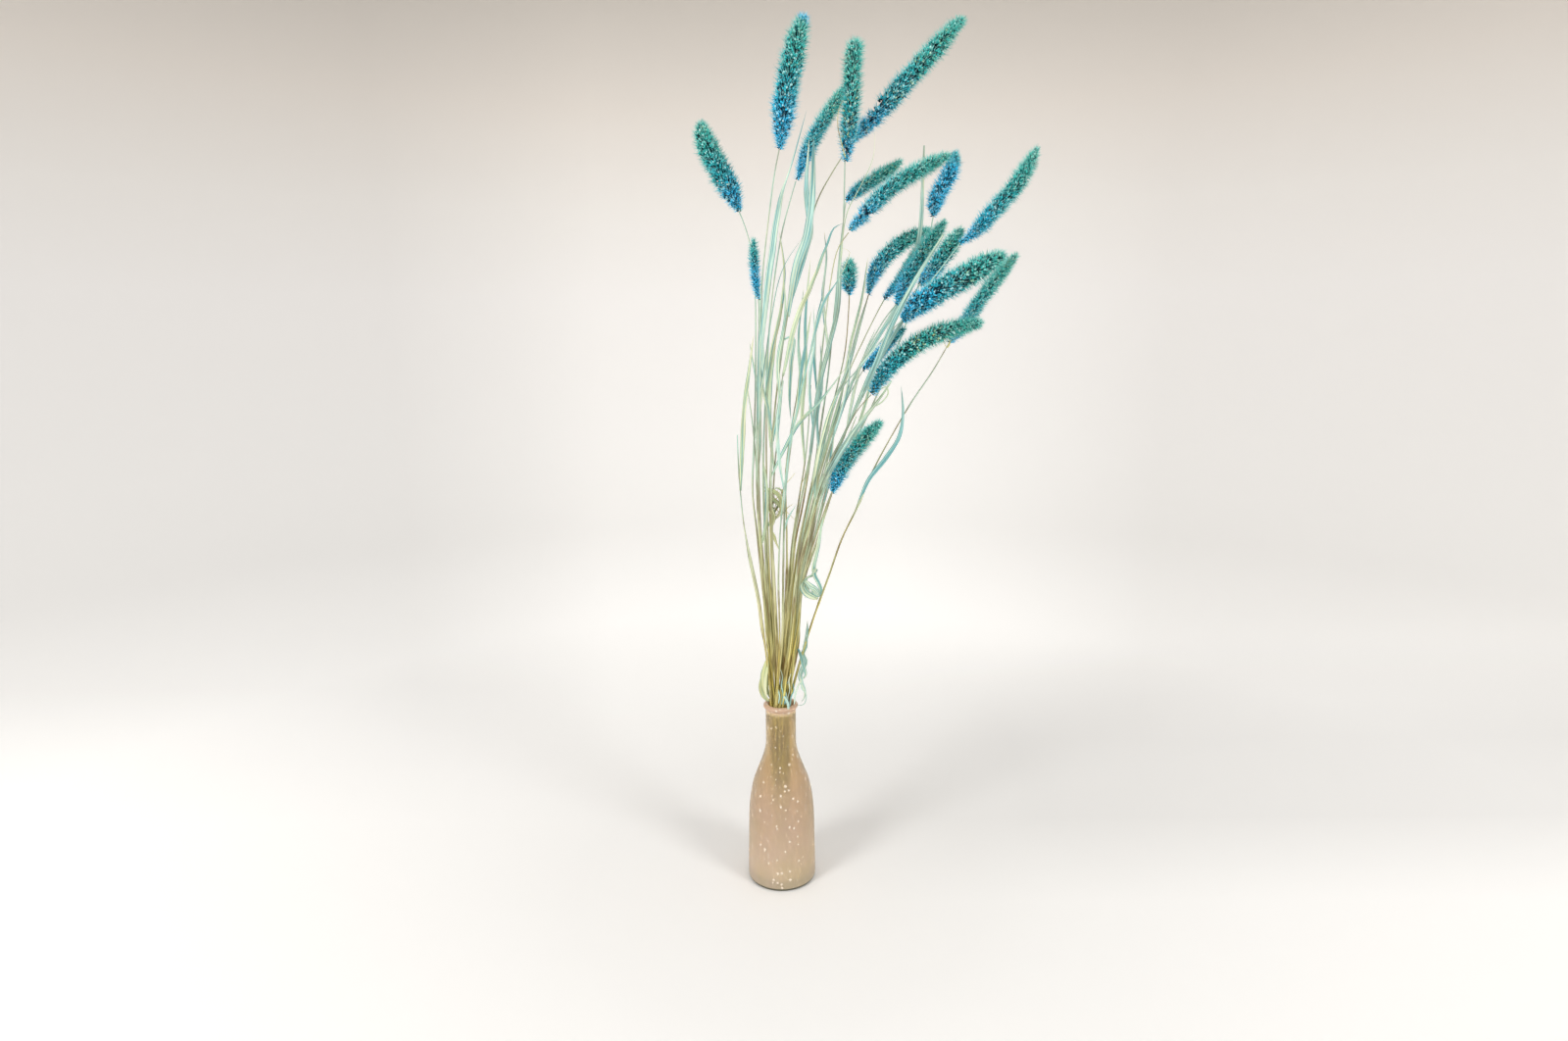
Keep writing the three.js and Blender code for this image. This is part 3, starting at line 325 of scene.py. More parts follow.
def smooth(points, step):
    """Points about a step apart on the curve."""
    points = np.array(points, float)
    t = np.linspace(0, 1, SAMPLES)
    run = np.r_[0, np.cumsum(np.linalg.norm(np.diff(spline_points(points, t), axis=0), axis=1))]
    count = max(2, nearest(run[-1] / step))
    return spline_points(points, np.interp(np.linspace(0, run[-1], count + 1), run, t))


def x_at(line, z):
    """Where a rising line passes the height z."""
    for (ax, az), (bx, bz) in zip(line, line[1:]):
        if bz >= z > az:
            return ax + (bx - ax) * (z - az) / (bz - az)
    return line[0][0] if line[0][1] >= z else line[-1][0]


print("a smooth line of", len(smooth(HEADED[0]["path"], 7)), "points for the first stem")

# %% [markdown]
# ## From the front view to real places
# A point behind the plane y = 0 looks smaller and nearer to the middle of the picture. Growing its distance
# from the eye in proportion puts it on the same sight line at its true depth.

# %% From the front view to real places


def growth(depth):
    """How much larger a thing at this depth has to be to look as it would in the plane y = 0."""
    return 1 + depth / -EYE[1]


def from_front(x, z, depth):
    """The real place of a point of the front view."""
    grow = growth(depth)
    return np.stack([EYE[0] + (x - EYE[0]) * grow, depth, EYE[2] + (z - EYE[2]) * grow], axis=-1)


def to_front(point):
    """Where a real place is in the front view, and its depth."""
    x, y, z = point
    grow = growth(y)
    return [EYE[0] + (x - EYE[0]) / grow, EYE[2] + (z - EYE[2]) / grow, y]


print("the first seed head's tip is at", np.round(from_front(*HEADED[0]["head"][-1], HEADED[0]["depth"])))

# %% [markdown]
# ## Places in the neck
# All 33 stems pass through a neck 24 mm wide inside, packed like straws in a glass. Rows of a hexagonal
# pattern hold them: the foremost stems stand in the front rows, and each row keeps the order from left to
# right that its stems have above the mouth, so that few of them cross.

# %% Places in the neck
SLOT_PITCH = 3.1
SLOT_REACH = 10.4
SLOT_ROWS = range(-3, 4)
TINY = 1e-9
FOOT_SPREAD = 0.82
FLOOR_Z = 7
NECK_LOW_Z = 128
NECK_TOP_Z = 174
ORDER_Z = 260


def neck_rows():
    """The places in the neck, row after row from the front to the back."""
    rows = []
    drop = SLOT_PITCH * math.sqrt(3) / 2
    for k in SLOT_ROWS:
        half = math.sqrt(SLOT_REACH**2 - (k * drop) ** 2)
        shift = SLOT_PITCH / 2 if k % 2 else 0
        first = -math.floor((half + shift) / SLOT_PITCH + TINY)
        last = math.floor((half - shift) / SLOT_PITCH + TINY)
        rows.append([(shift + n * SLOT_PITCH, k * drop) for n in range(first, last + 1)])
    return rows


def place_in_neck(strands):
    """Gives every strand its place. The places that stay empty are shared out at the ends of the rows."""
    rows = neck_rows()
    left = sum(len(row) for row in rows) - len(strands)
    queue = sorted(strands, key=lambda s: s["depth"])
    for i, row in enumerate(rows):
        skip = nearest(left / (len(rows) - i))
        left -= skip
        places = row[skip // 2: len(row) - (skip + 1) // 2]
        taken = sorted(queue[: len(places)], key=lambda s: x_at(s["path"], ORDER_Z))
        del queue[: len(places)]
        for strand, place in zip(taken, places):
            strand["slot"] = place


strands = HEADED + HEADLESS
place_in_neck(strands)
for order, strand in enumerate(sorted(strands, key=lambda s: s["depth"])):
    strand["order"] = order
print("places in the neck:", sum(len(row) for row in neck_rows()), "for", len(strands), "stems")

# %% [markdown]
# ## Lines with a width and a depth
# Every stem, leaf and seed head is a line in the front view with a half width at each point. A stem starts
# at its place in the neck and fans out to its own depth, a leaf starts on its stem and drifts a little to
# the front or the back, and a seed head goes on where its stem ends.

# %% Lines with a width and a depth
STEM_R = 1.1
STEM_TIP_R = 0.55
STEM_STEP = 34
LEAF_STEP = 22
HEAD_STEP = 3.7
TUFT_RISE = 0.24
FAN_BEND = 1.12
LEAF_FOLLOW = 0.8
LEAF_DRIFT = 14
LEAF_DRIFT_RISE = 200
BLADE_RISE = 25
BLADE_END_POINTS = 3


def ramp(t):
    """The value, held between 0 and 1."""
    return np.clip(t, 0, 1)


def head_shape(t):
    """Half width of a seed head along its length, as a share of the widest."""
    base = 0.55 + 0.45 * np.sin(ramp(t / 0.32) * math.pi / 2)
    tip = np.sqrt(1 - 0.93 * ramp((t - 0.68) / 0.32) ** 2.4)
    return base * tip


def leaf_shape(t):
    """Half width of a leaf along its length, as a share of the widest."""
    return np.where(t < 0.4, 0.45 + 0.55 * np.sin(np.minimum(t, 0.4) / 0.8 * math.pi),
                    0.14 + 0.86 * np.cos((np.maximum(t, 0.4) - 0.4) / 1.2 * math.pi))


def depth_law(strand, low):
    """How deep a strand's stem is at each height, before the strands are moved apart."""
    slot_y = strand["slot"][1]
    top = strand["path"][-1][1]
    reach = strand["head"][-1][1] if "head" in strand else top

    def depth_at(z):
        below = low[0][2] + (low[1][2] - low[0][2]) * ramp((z - low[0][1]) / (low[1][1] - low[0][1]))
        rise = np.maximum(0, (z - low[2][1]) / ((top + reach) / 2 - low[2][1])) ** FAN_BEND
        return np.where(z <= low[1][1], below, slot_y + (strand["depth"] - slot_y) * rise)

    return depth_at


def leaf_depth_law(stem_depth_at, root_z, out):
    """How deep a leaf is at each height: it follows its stem and drifts out by up to this much."""
    root_depth = stem_depth_at(root_z)

    def depth_at(z):
        follow = (stem_depth_at(z) - root_depth) * LEAF_FOLLOW
        return root_depth + follow + out * ramp((z - root_z) / LEAF_DRIFT_RISE)

    return depth_at


def stem_half_widths(strand, line):
    """Half width of a stem with its blade and its leaf sheaths."""
    n = len(line) - 1
    i = np.arange(n + 1)
    half = STEM_R + (STEM_TIP_R - STEM_R) * (i / n) ** 2
    if "blade" in strand:
        end = 1 - 0.75 * ramp((i - n + BLADE_END_POINTS) / BLADE_END_POINTS)
        half = half + strand["w"] * ramp((line[:, 1] - strand["blade"]) / BLADE_RISE) * end / 2
    for z, end, width in reversed(strand.get("sheaths", [])):
        wrapped = (line[:, 1] > z) & (line[:, 1] < end)
        half = np.where(wrapped, np.maximum(half, width / 2), half)
    return half


def lines_of(strand):
    """The lines of a strand: its stem, its seed head and its leaves."""
    sx, sy = strand["slot"]
    low = [to_front(p) for p in ((sx * FOOT_SPREAD, sy * FOOT_SPREAD, FLOOR_Z + strand["foot"]),
                                 (sx, sy, NECK_LOW_Z), (sx, sy, NECK_TOP_Z))]
    depth_at = depth_law(strand, low)
    knots = [low[2][:2], *strand["path"]]
    line = np.vstack([low[0][:2], low[1][:2], smooth(knots, STEM_STEP)])
    stem = dict(strand=strand, kind="stem", low=low, knots=knots, line=line, depth_at=depth_at,
                half=stem_half_widths(strand, line))
    lines = [stem]
    if "head" in strand:
        line = smooth(strand["head"], HEAD_STEP)
        half = strand["r"] * head_shape(np.linspace(0, 1, len(line))) * (1 + TUFT_RISE / 2)
        lines.append(dict(strand=strand, kind="head", knots=strand["head"], line=line,
                          depth_at=depth_at, half=half))
    for k, leaf in enumerate(strand["leaves"]):
        knots = [(x_at(stem["line"], leaf["root"]), leaf["root"]), *leaf["path"]]
        line = smooth(knots, leaf.get("step", LEAF_STEP))
        law = leaf_depth_law(depth_at, leaf["root"], LEAF_DRIFT if k % 2 else -LEAF_DRIFT)
        half = leaf["w"] / 2 * leaf_shape(np.linspace(0, 1, len(line)))
        lines.append(dict(strand=strand, kind="leaf", leaf=leaf, number=k, knots=knots, line=line,
                          depth_at=law, half=half))
    return lines


lines = [line for strand in strands for line in lines_of(strand)]
print({kind: sum(line["kind"] == kind for line in lines) for kind in ("stem", "head", "leaf")})

# %% [markdown]
# ## Room between the strands
# In the picture the stems cross each other everywhere, and where two cross, one is in front. Lines that
# would touch are pushed apart in depth only, so the front view stays as it is. Each push is spread along
# the line, so a stem bends softly, and seed heads and leaves are joined to their stem again in each round.

# %% What every line covers
CLEAR = 0.8
LEVEL = 4
TOP_Z = 830
LEVELS = math.ceil(TOP_Z / LEVEL)
FIRST_FREE = math.ceil(NECK_TOP_Z / LEVEL) + 1
COVER_STEP = 1.5
LEAST_COVER = 0.1


def cover_of(line):
    """Left edge, right edge and thickness of a line at each level."""
    left, right, thick = np.full(LEVELS, np.inf), np.full(LEVELS, -np.inf), np.zeros(LEVELS)
    path = np.column_stack([line["line"], line["half"]])
    for a, b in zip(path, path[1:]):
        steps = math.ceil(math.hypot(*(b - a)[:2]) / COVER_STEP)
        for x, z, r in a + (b - a) * np.linspace(0, 1, steps + 1)[:, None]:
            start = max(0, math.ceil((z - r) / LEVEL - 0.5))
            end = min(LEVELS - 1, nearest((z + r) / LEVEL))
            k = np.arange(start, end + 1)
            off = np.minimum(r, np.abs(k * LEVEL - z))
            w = np.sqrt(np.maximum(r * r - off**2, r * r * LEAST_COVER))
            left[k] = np.minimum(left[k], x - w)
            right[k] = np.maximum(right[k], x + w)
            thick[k] = np.maximum(thick[k], r * 0.75 + 0.3 if line["kind"] == "leaf" else r)
    return left, right, thick


def crossings(lines):
    """Where two lines could touch: both numbers, level, distance needed, sign, and share of the first."""
    covers = [cover_of(line) for line in lines]
    level = np.arange(LEVELS)
    rows = []
    for i, (al, ar, at) in enumerate(covers):
        for j, (bl, br, bt) in enumerate(covers[i + 1:], i + 1):
            if lines[i]["strand"] is lines[j]["strand"]:
                continue
            both = np.isfinite(al) & np.isfinite(bl) & (level >= FIRST_FREE)
            if not both.any():
                continue
            k = level[both]
            dx = np.abs(al[k] + ar[k] - bl[k] - br[k]) / 2
            reach = (ar[k] - al[k] + br[k] - bl[k]) / 2 + CLEAR
            near = dx < reach
            k, dx, reach = k[near], dx[near], reach[near]
            need = (at[k] + bt[k] + CLEAR) * np.sqrt(1 - (dx / reach) ** 2)
            sign = 1 if lines[i]["strand"]["order"] < lines[j]["strand"]["order"] else -1
            rows += zip([i] * len(k), [j] * len(k), k, need, [sign] * len(k), bt[k] / (at[k] + bt[k]))
    return [np.array(column) for column in zip(*rows)]


pairs = crossings(lines)
print("places where lines could touch:", len(pairs[0]))

# %% Pushing the lines apart
ROUNDS = 260
SPREAD_PASSES = 5
CLOSE_ENOUGH = 0.05
PUSH = 0.5
JOIN_REACH = dict(head=400, leaf=90)


def keep_apart(lines, pairs):
    """Moves lines that are too near to each other apart in depth, a little in every round."""
    i, j, k, need, sign, share = pairs
    depth = np.array([line["depth_at"](np.arange(LEVELS) * LEVEL) for line in lines])
    stem_of = {id(line["strand"]): n for n, line in enumerate(lines) if line["kind"] == "stem"}
    level = np.arange(LEVELS)
    for _ in range(ROUNDS):
        short = np.maximum(need - sign * (depth[j, k] - depth[i, k]), 0)
        if short.max() < CLOSE_ENOUGH:
            break
        push = np.zeros_like(depth)
        np.add.at(push, (i, k), -sign * short * share * PUSH)
        np.add.at(push, (j, k), sign * short * (1 - share) * PUSH)
        for _ in range(SPREAD_PASSES):
            before = push[:, FIRST_FREE - 1:-2].copy()
            before[:, 0] = 0
            push[:, FIRST_FREE:-1] = (before + 2 * push[:, FIRST_FREE:-1] + push[:, FIRST_FREE + 1:]) / 4
        depth[:, FIRST_FREE:] += push[:, FIRST_FREE:]
        for n, line in enumerate(lines):
            if line["kind"] == "stem":
                continue
            stem = stem_of[id(line["strand"])]
            head = line["kind"] == "head"
            root = nearest((line["line"][0, 1] if head else line["leaf"]["root"]) / LEVEL)
            fade = np.maximum(0, 1 - np.abs(level - root) * LEVEL / JOIN_REACH[line["kind"]])
            off = depth[stem, root] - depth[n, root]
            depth[n, FIRST_FREE:] += off * fade[FIRST_FREE:]
            if head:
                depth[n, FIRST_FREE:root] = depth[stem, FIRST_FREE:root]
    for line, table in zip(lines, depth):
        line["depths"] = table


keep_apart(lines, pairs)
moved = max(np.abs(line["depths"] - line["depth_at"](np.arange(LEVELS) * LEVEL)).max() for line in lines)
print("largest move in depth in mm:", round(float(moved), 1))

# %% [markdown]
# ## Tools for settled lines
# Two helpers serve all that follows. One brings front-view points of a line to their real places. The
# other gives directions across a line that don't spin, so a tube or a ribbon along it isn't twisted.

# %% Real places along a line


def depth_on(line, z):
    """How deep a line is at each height: by its law in the neck, and as pushed above it."""
    free = np.interp(z / LEVEL, np.arange(LEVELS), line["depths"])
    return np.where(z < NECK_TOP_Z + LEVEL, line["depth_at"](z), free)


def settled(line, flat):
    """Real places of front-view points on a line, and how much their depth makes them grow."""
    depth = depth_on(line, flat[:, 1])
    return from_front(flat[:, 0], flat[:, 1], depth), growth(depth)


def run_along(points):
    """The distance along a line at each of its points."""
    return np.r_[0, np.cumsum(np.linalg.norm(np.diff(points, axis=0), axis=1))]


def frames_along(points):
    """Unit directions along a line and two across it, which turn as little as they can."""
    n = len(points)
    side = np.array([1.0, 0, 0])
    rows = []
    for k in range(n):
        along = points[min(k + 1, n - 1)] - points[max(k - 1, 0)]
        along /= np.linalg.norm(along)
        side = side - along * (side @ along)
        side /= np.linalg.norm(side)
        rows.append((along, side, np.cross(along, side)))
    return (np.array(column) for column in zip(*rows))


def off_the_solid(line, node):
    """How far the line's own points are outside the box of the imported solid, in mm."""
    low, high = (np.array(corner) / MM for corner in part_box(node))
    places = settled(line, line["line"])[0]
    return float(np.maximum(low - places, places - high).max())


off = {line["strand"]["id"]: off_the_solid(line, "head_" + line["strand"]["id"])
       for line in lines if line["kind"] == "head"}
print("seed head lines reach at most", round(max(off.values()), 2), "mm outside their solids")

# %% [markdown]
# ## Pieces from arrays of points
# The heads have hundreds of thousands of points. Adding them to a mesh one by one would take minutes, so
# NumPy works out their places all at once, and the mesh takes them as long rows of numbers. Every piece
# rides on the imported model's body and hides the solid that it stands for.

# %% A piece from arrays
import bmesh


def make_piece(name, places, faces, marks, material, node=None, lay=None):
    """An object from points in mm and arrays of faces, with the marks and lay that its material reads."""
    mesh = bpy.data.meshes.new(name)
    sizes = np.concatenate([np.full(len(f), f.shape[1]) for f in faces])
    corners = np.concatenate([f.ravel() for f in faces])
    mesh.vertices.add(len(places))
    mesh.vertices.foreach_set("co", (places * MM).astype(np.float32).ravel())
    mesh.loops.add(len(corners))
    mesh.loops.foreach_set("vertex_index", corners.astype(np.int32))
    mesh.polygons.add(len(sizes))
    mesh.polygons.foreach_set("loop_start", np.r_[0, np.cumsum(sizes)[:-1]].astype(np.int32))
    mesh.polygons.foreach_set("use_smooth", np.full(len(sizes), True))
    mesh.update(calc_edges=True)
    mesh.validate()
    layer = mesh.attributes.new("marks", "FLOAT_COLOR", "POINT")
    layer.data.foreach_set("color", marks.astype(np.float32).ravel())
    if lay is not None:
        layer = mesh.attributes.new("lay", "FLOAT_VECTOR", "POINT")
        layer.data.foreach_set("vector", lay.astype(np.float32).ravel())
    mesh.materials.append(material)
    piece = bpy.data.objects.new(name, mesh)
    bpy.context.scene.collection.objects.link(piece)
    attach(piece, "root")
    if node:
        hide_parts(node)
    return piece


def tube_faces(rings, around):
    """Quads between rings of points that are numbered ring after ring."""
    k = np.arange(around)
    i = np.arange(rings - 1)[:, None] * around
    after = (k + 1) % around
    return np.stack([i + k, i + after, i + around + after, i + around + k], axis=-1).reshape(-1, 4)


def rings_round(points, side, up, half_side, half_up, around):
    """A ring of points round every point of a line."""
    turn = np.arange(around) / around * 2 * math.pi
    ring = (side[:, None] * (half_side[:, None] * np.cos(turn))[..., None]
            + up[:, None] * (half_up[:, None] * np.sin(turn))[..., None])
    return (points[:, None] + ring).reshape(-1, 3)


def unit_ball():
    """Points and faces of the small ball that every grain is made from."""
    ball = bmesh.new()
    bmesh.ops.create_icosphere(ball, subdivisions=1, radius=1)
    places = np.array([v.co for v in ball.verts])
    faces = np.array([[v.index for v in f.verts] for f in ball.faces])
    ball.free()
    return places, faces


BALL, BALL_FACES = unit_ball()
print("a grain has", len(BALL_FACES), "faces")

# %% [markdown]
# ## Recipes for materials
# A material could be clicked together in the shader editor. Here code adds its nodes, so the same few
# helpers serve all of them and each material reads as a recipe. The colours start from the marks, which
# are four numbers at every point of a mesh, such as how far along the piece it is and a random number.

# %% Material helpers
NOISE_ROUGHNESS = 0.6


def srgb(code):
    """A colour from its hex code, as the linear values that the nodes take."""
    parts = [int(code[i:i + 2], 16) / 255 for i in (0, 2, 4)]
    return [c / 12.92 if c < 0.04045 else ((c + 0.055) / 1.055) ** 2.4 for c in parts] + [1]


class Recipe:
    """A material whose nodes are added one by one. A colour may be given as its hex code."""

    def __init__(self, name):
        self.material = bpy.data.materials.new(name)
        self.material.use_nodes = True
        self.nodes = self.material.node_tree.nodes
        self.links = self.material.node_tree.links
        self.shader = self.nodes["Principled BSDF"]

    def node(self, kind, inputs=(), **settings):
        node = self.nodes.new(kind)
        for key, value in settings.items():
            setattr(node, key, value)
        for socket, value in dict(inputs).items():
            self.put(node.inputs[socket], value)
        return node

    def put(self, socket, value):
        if isinstance(value, bpy.types.NodeSocket):
            self.links.new(value, socket)
        else:
            socket.default_value = srgb(value) if isinstance(value, str) else value

    def place(self):
        return self.node("ShaderNodeTexCoord").outputs["Object"]

    def split(self, vector):
        return self.node("ShaderNodeSeparateXYZ", {"Vector": vector}).outputs

    def marks(self):
        """The four numbers that each point of the mesh carries."""
        mark = self.node("ShaderNodeAttribute", attribute_name="marks")
        split = self.node("ShaderNodeSeparateColor", {"Color": mark.outputs["Color"]})
        return [*split.outputs, mark.outputs["Alpha"]]

    def spots(self, scale, stretch=(1, 1, 1), detail=3):
        """Soft spots of noise in space, from 0 to 1."""
        scaled = self.node("ShaderNodeMapping", {"Vector": self.place(), "Scale": stretch})
        noise = self.node("ShaderNodeTexNoise", {"Vector": scaled.outputs[0], "Scale": scale,
                                                 "Detail": detail, "Roughness": NOISE_ROUGHNESS})
        return noise.outputs["Fac"]

    def strips(self, across, along, detail=2):
        """Strips down the length of a piece, from its lay: mm to the side, along it and outwards."""
        lay = self.node("ShaderNodeAttribute", attribute_name="lay").outputs["Vector"]
        scaled = self.node("ShaderNodeMapping", {"Vector": lay, "Scale": (across, along, across)})
        noise = self.node("ShaderNodeTexNoise", {"Vector": scaled.outputs[0], "Scale": 1, "Detail": detail})
        return noise.outputs["Fac"]

    def ramp(self, value, stops):
        """A colour picked from a row of places and hex codes."""
        ramp = self.node("ShaderNodeValToRGB", {"Fac": value})
        elements = ramp.color_ramp.elements
        while len(elements) < len(stops):
            elements.new(0.5)
        for element, (position, colour) in zip(elements, stops):
            element.position = position
            element.color = srgb(colour)
        return ramp.outputs["Color"]

    def fit(self, value, low, high, to_low=0.0, to_high=1.0):
        """The value, moved from one range to another and held inside it."""
        node = self.node("ShaderNodeMapRange", {"Value": value, "From Min": low, "From Max": high,
                                                "To Min": to_low, "To Max": to_high})
        return node.outputs["Result"]

    def math(self, what, a, b=0.0):
        return self.node("ShaderNodeMath", {0: a, 1: b}, operation=what).outputs[0]

    def times(self, *factors):
        """The product of all the factors."""
        product = factors[0]
        for factor in factors[1:]:
            product = self.math("MULTIPLY", product, factor)
        return product

    def mix(self, factor, a, b, blend="MIX"):
        """From the colour a at a factor of 0 to the colour b at 1."""
        node = self.node("ShaderNodeMix", data_type="RGBA", blend_type=blend)
        self.put(node.inputs["Factor"], factor)
        self.put(node.inputs[6], a)
        self.put(node.inputs[7], b)
        return node.outputs[2]

    def bump(self, height, strength, distance):
        node = self.node("ShaderNodeBump", {"Height": height, "Strength": strength, "Distance": distance})
        return node.outputs["Normal"]

    def finish(self, **inputs):
        """Sets the shader's own sockets and hands the material over."""
        for socket, value in inputs.items():
            self.put(self.shader.inputs[socket.replace("_", " ")], value)
        return self.material


print("recipes ready")

# %% [markdown]
# ## Seed heads
# A foxtail head is a spike of short side branches. Each ends in a round lobe of grains, and under every
# grain sit a few stiff bristles that point to the tip. The lobes are set along a spiral with the golden
# angle, as a plant grows them, so no rows show. Every lobe is a dome of small balls, each ball is one
# grain, and each bristle is a spike with three sides, which is enough for something thinner than a hair.
#
# The heads were dyed while dry. The dye stayed strongest at the base, where they are blue, and turned to
# teal and green towards the tip. Some grains took little dye and show their own olive. The gaps between the
# lobes are darkened by painted shade, and the outer ends of grains and bristles are lightened by a painted
# highlight. The marks of a head are its share of the way to the tip, a random number, a painted shade that is
# dark in the gaps and light on the lobes' tops, and how blue this head is.

# %% Dyed grain
DYES = [(0.0, "3CD6FF"), (0.12, "3CD4FF"), (0.3, "34CCDE"), (0.65, "46CCC4"), (1.0, "5CD6C6")]
BLUE_REACH = 0.55
OWN_COLOURS = [(0.0, "7DBBA8"), (0.7, "B4C88C"), (1.0, "ECDC98")]
OWN_SHARE = 0.9
PAINTED_SHADES = [(0.0, "10303A"), (0.18, "265460"), (0.36, "96BAC2"), (0.54, "F4FCFF"), (1.0, "FFFFFF")]
LIT_TIPS = "E4FFFC"


def head_material():
    recipe = Recipe("dyed grain")
    along, chance, height, blue = recipe.marks()
    shifted = recipe.math("SUBTRACT", along, recipe.times(blue, BLUE_REACH))
    cloudy = recipe.math("ADD", shifted, recipe.fit(recipe.spots(60), 0.3, 0.7, -0.1, 0.1))
    dye = recipe.ramp(cloudy, DYES)
    undyed = recipe.ramp(chance, OWN_COLOURS)
    patchy = recipe.times(recipe.fit(chance, 0.62, 0.85), recipe.fit(recipe.spots(35), 0.4, 0.6),
                          recipe.fit(blue, -0.25, 0.3, 1.2, 0.3), OWN_SHARE)
    grain = recipe.mix(patchy, dye, undyed)
    # Painted shade: the third mark darkens the grains in the gaps between the lobes and at their inner ends.
    colour = recipe.mix(1.0, grain, recipe.ramp(height, PAINTED_SHADES), "MULTIPLY")
    # Painted highlight: the grains and bristles with the highest third mark are whitened.
    painted_highlight = recipe.mix(recipe.fit(height, 0.72, 1.12, 0, 0.9), colour, LIT_TIPS)
    return recipe.finish(Base_Color=painted_highlight, Roughness=0.72, Specular_IOR_Level=0.25)


HEAD_LOOK = head_material()
print("material:", HEAD_LOOK.name)

# %% [markdown]
# ## Lobes
# On the plant each side branch is turned by the golden angle from the one below it. The same rule places
# the lobes here, and the step along the head follows their size and its thickness, so they cover it
# evenly. Rings of lobes would be simpler, but they would show as rings.

# %% Lobes along a spiral
GOLDEN = math.radians(137.508)
LOBE_SHARE = 0.42
LOBE_MIN, LOBE_MAX = 1.2, 3.3
LOBE_PITCH = 1.88


def normal(v):
    """The vectors at a length of 1."""
    return v / np.linalg.norm(v, axis=-1, keepdims=True)


def across(v):
    """Two directions square to each of the given ones."""
    helper = np.where(np.abs(v[..., 2:]) < 0.9, [0, 0, 1.0], [1.0, 0, 0])
    a = normal(np.cross(v, helper))
    return a, np.cross(v, a)


def lobes_on(radius_at, reach):
    """The lobes down the spiral: distance along the head, turn round it and radius of the dome."""
    rows = []
    s, turn = 0.0, 0.0
    while s < reach:
        dome = min(LOBE_MAX, max(LOBE_MIN, LOBE_SHARE * radius_at(s)))
        rows.append((s, turn, dome))
        s += (LOBE_PITCH * dome) ** 2 / (2 * math.pi * max(radius_at(s) - dome / 2, dome))
        turn += GOLDEN
    return np.array(rows).T


print("a head 7 mm in radius and 80 mm long has", lobes_on(lambda s: 7, 80).shape[1], "lobes")

# %% [markdown]
# ## Grains
# A grain sits in a small hard husk, a little longer than it is thick. Scattering copies of one object
# would be lighter in Blender, but this part is kept as plain meshes, so every grain is a ball of its own,
# stretched outwards and set on the outer side of its lobe, where it can be seen.

# %% Grains on a lobe
GRAIN_LONG, GRAIN_THICK = 1.35, 0.88
GRAIN_SPACE = 3.1
GRAIN_SCATTER = 0.10
FULL_DOME = 2.9
SMALLEST_GRAIN = 0.68
FEWEST_GRAINS = 4
CAP = 0.76
CAP_EDGE = 1.25


def grains_on(centre, axis, dome, rng):
    """Grains over the outer cap of a lobe: places, outward directions, sizes and nearness to its top."""
    size = min(1, max(SMALLEST_GRAIN, dome / FULL_DOME))
    count = max(FEWEST_GRAINS, round(2 * math.pi * dome**2 * CAP / (GRAIN_SPACE * size**2)))
    k = np.arange(count)
    cos = 1 - CAP * (k + 0.5) / count * CAP_EDGE
    turn = k * GOLDEN + rng.uniform(0, 6.28)
    a, b = across(axis)
    sin = np.sqrt(np.maximum(0, 1 - cos**2))
    out = axis * cos[:, None] + a * (sin * np.cos(turn))[:, None] + b * (sin * np.sin(turn))[:, None]
    out = normal(out + rng.normal(0, GRAIN_SCATTER, out.shape))
    rise = dome * rng.uniform(0.86, 1.08, (count, 1))
    return centre + out * rise, out, size * rng.uniform(0.85, 1.15, count), cos


def balls(places, out, long, thick):
    """A ball at each place, stretched along its outward direction."""
    a, b = across(out)
    turned = (BALL[None, :, :1] * a[:, None] + BALL[None, :, 1:2] * b[:, None]) * thick[:, None, None]
    points = places[:, None] + turned + BALL[None, :, 2:] * out[:, None] * long[:, None, None]
    faces = BALL_FACES[None] + (np.arange(len(places)) * len(BALL))[:, None, None]
    return points.reshape(-1, 3), faces.reshape(-1, 3)


print("a grain is", 2 * GRAIN_LONG, "mm long and", 2 * GRAIN_THICK, "mm thick")

# %% [markdown]
# ## Bristles
# The bristles make a foxtail look soft. They are stiff, far thinner than the grains, stand out past the
# lobes and lean to the tip. Hair particles would be the usual way in Blender, but they aren't part of a
# mesh. A spike with three sides is the smallest solid that shows from all around.

# %% Bristles on the grains
BRISTLES_A_GRAIN = 3
BRISTLE_R = 0.15
BRISTLE_MIN, BRISTLE_MAX = 2.4, 6.8
BRISTLE_SCATTER = 0.22
LONG_BRISTLE_DOME = 2.4


def spikes(roots, ways, lengths, radius):
    """A spike with three sides at each root."""
    a, b = across(ways)
    turn = np.arange(3) * 2 * math.pi / 3
    foot = roots[:, None] + radius * (a[:, None] * np.cos(turn)[:, None] + b[:, None] * np.sin(turn)[:, None])
    points = np.concatenate([foot, (roots + ways * lengths[:, None])[:, None]], axis=1)
    pattern = np.array([(0, 1, 3), (1, 2, 3), (2, 0, 3)])
    faces = pattern[None] + (np.arange(len(roots)) * 4)[:, None, None]
    return points.reshape(-1, 3), faces.reshape(-1, 3)


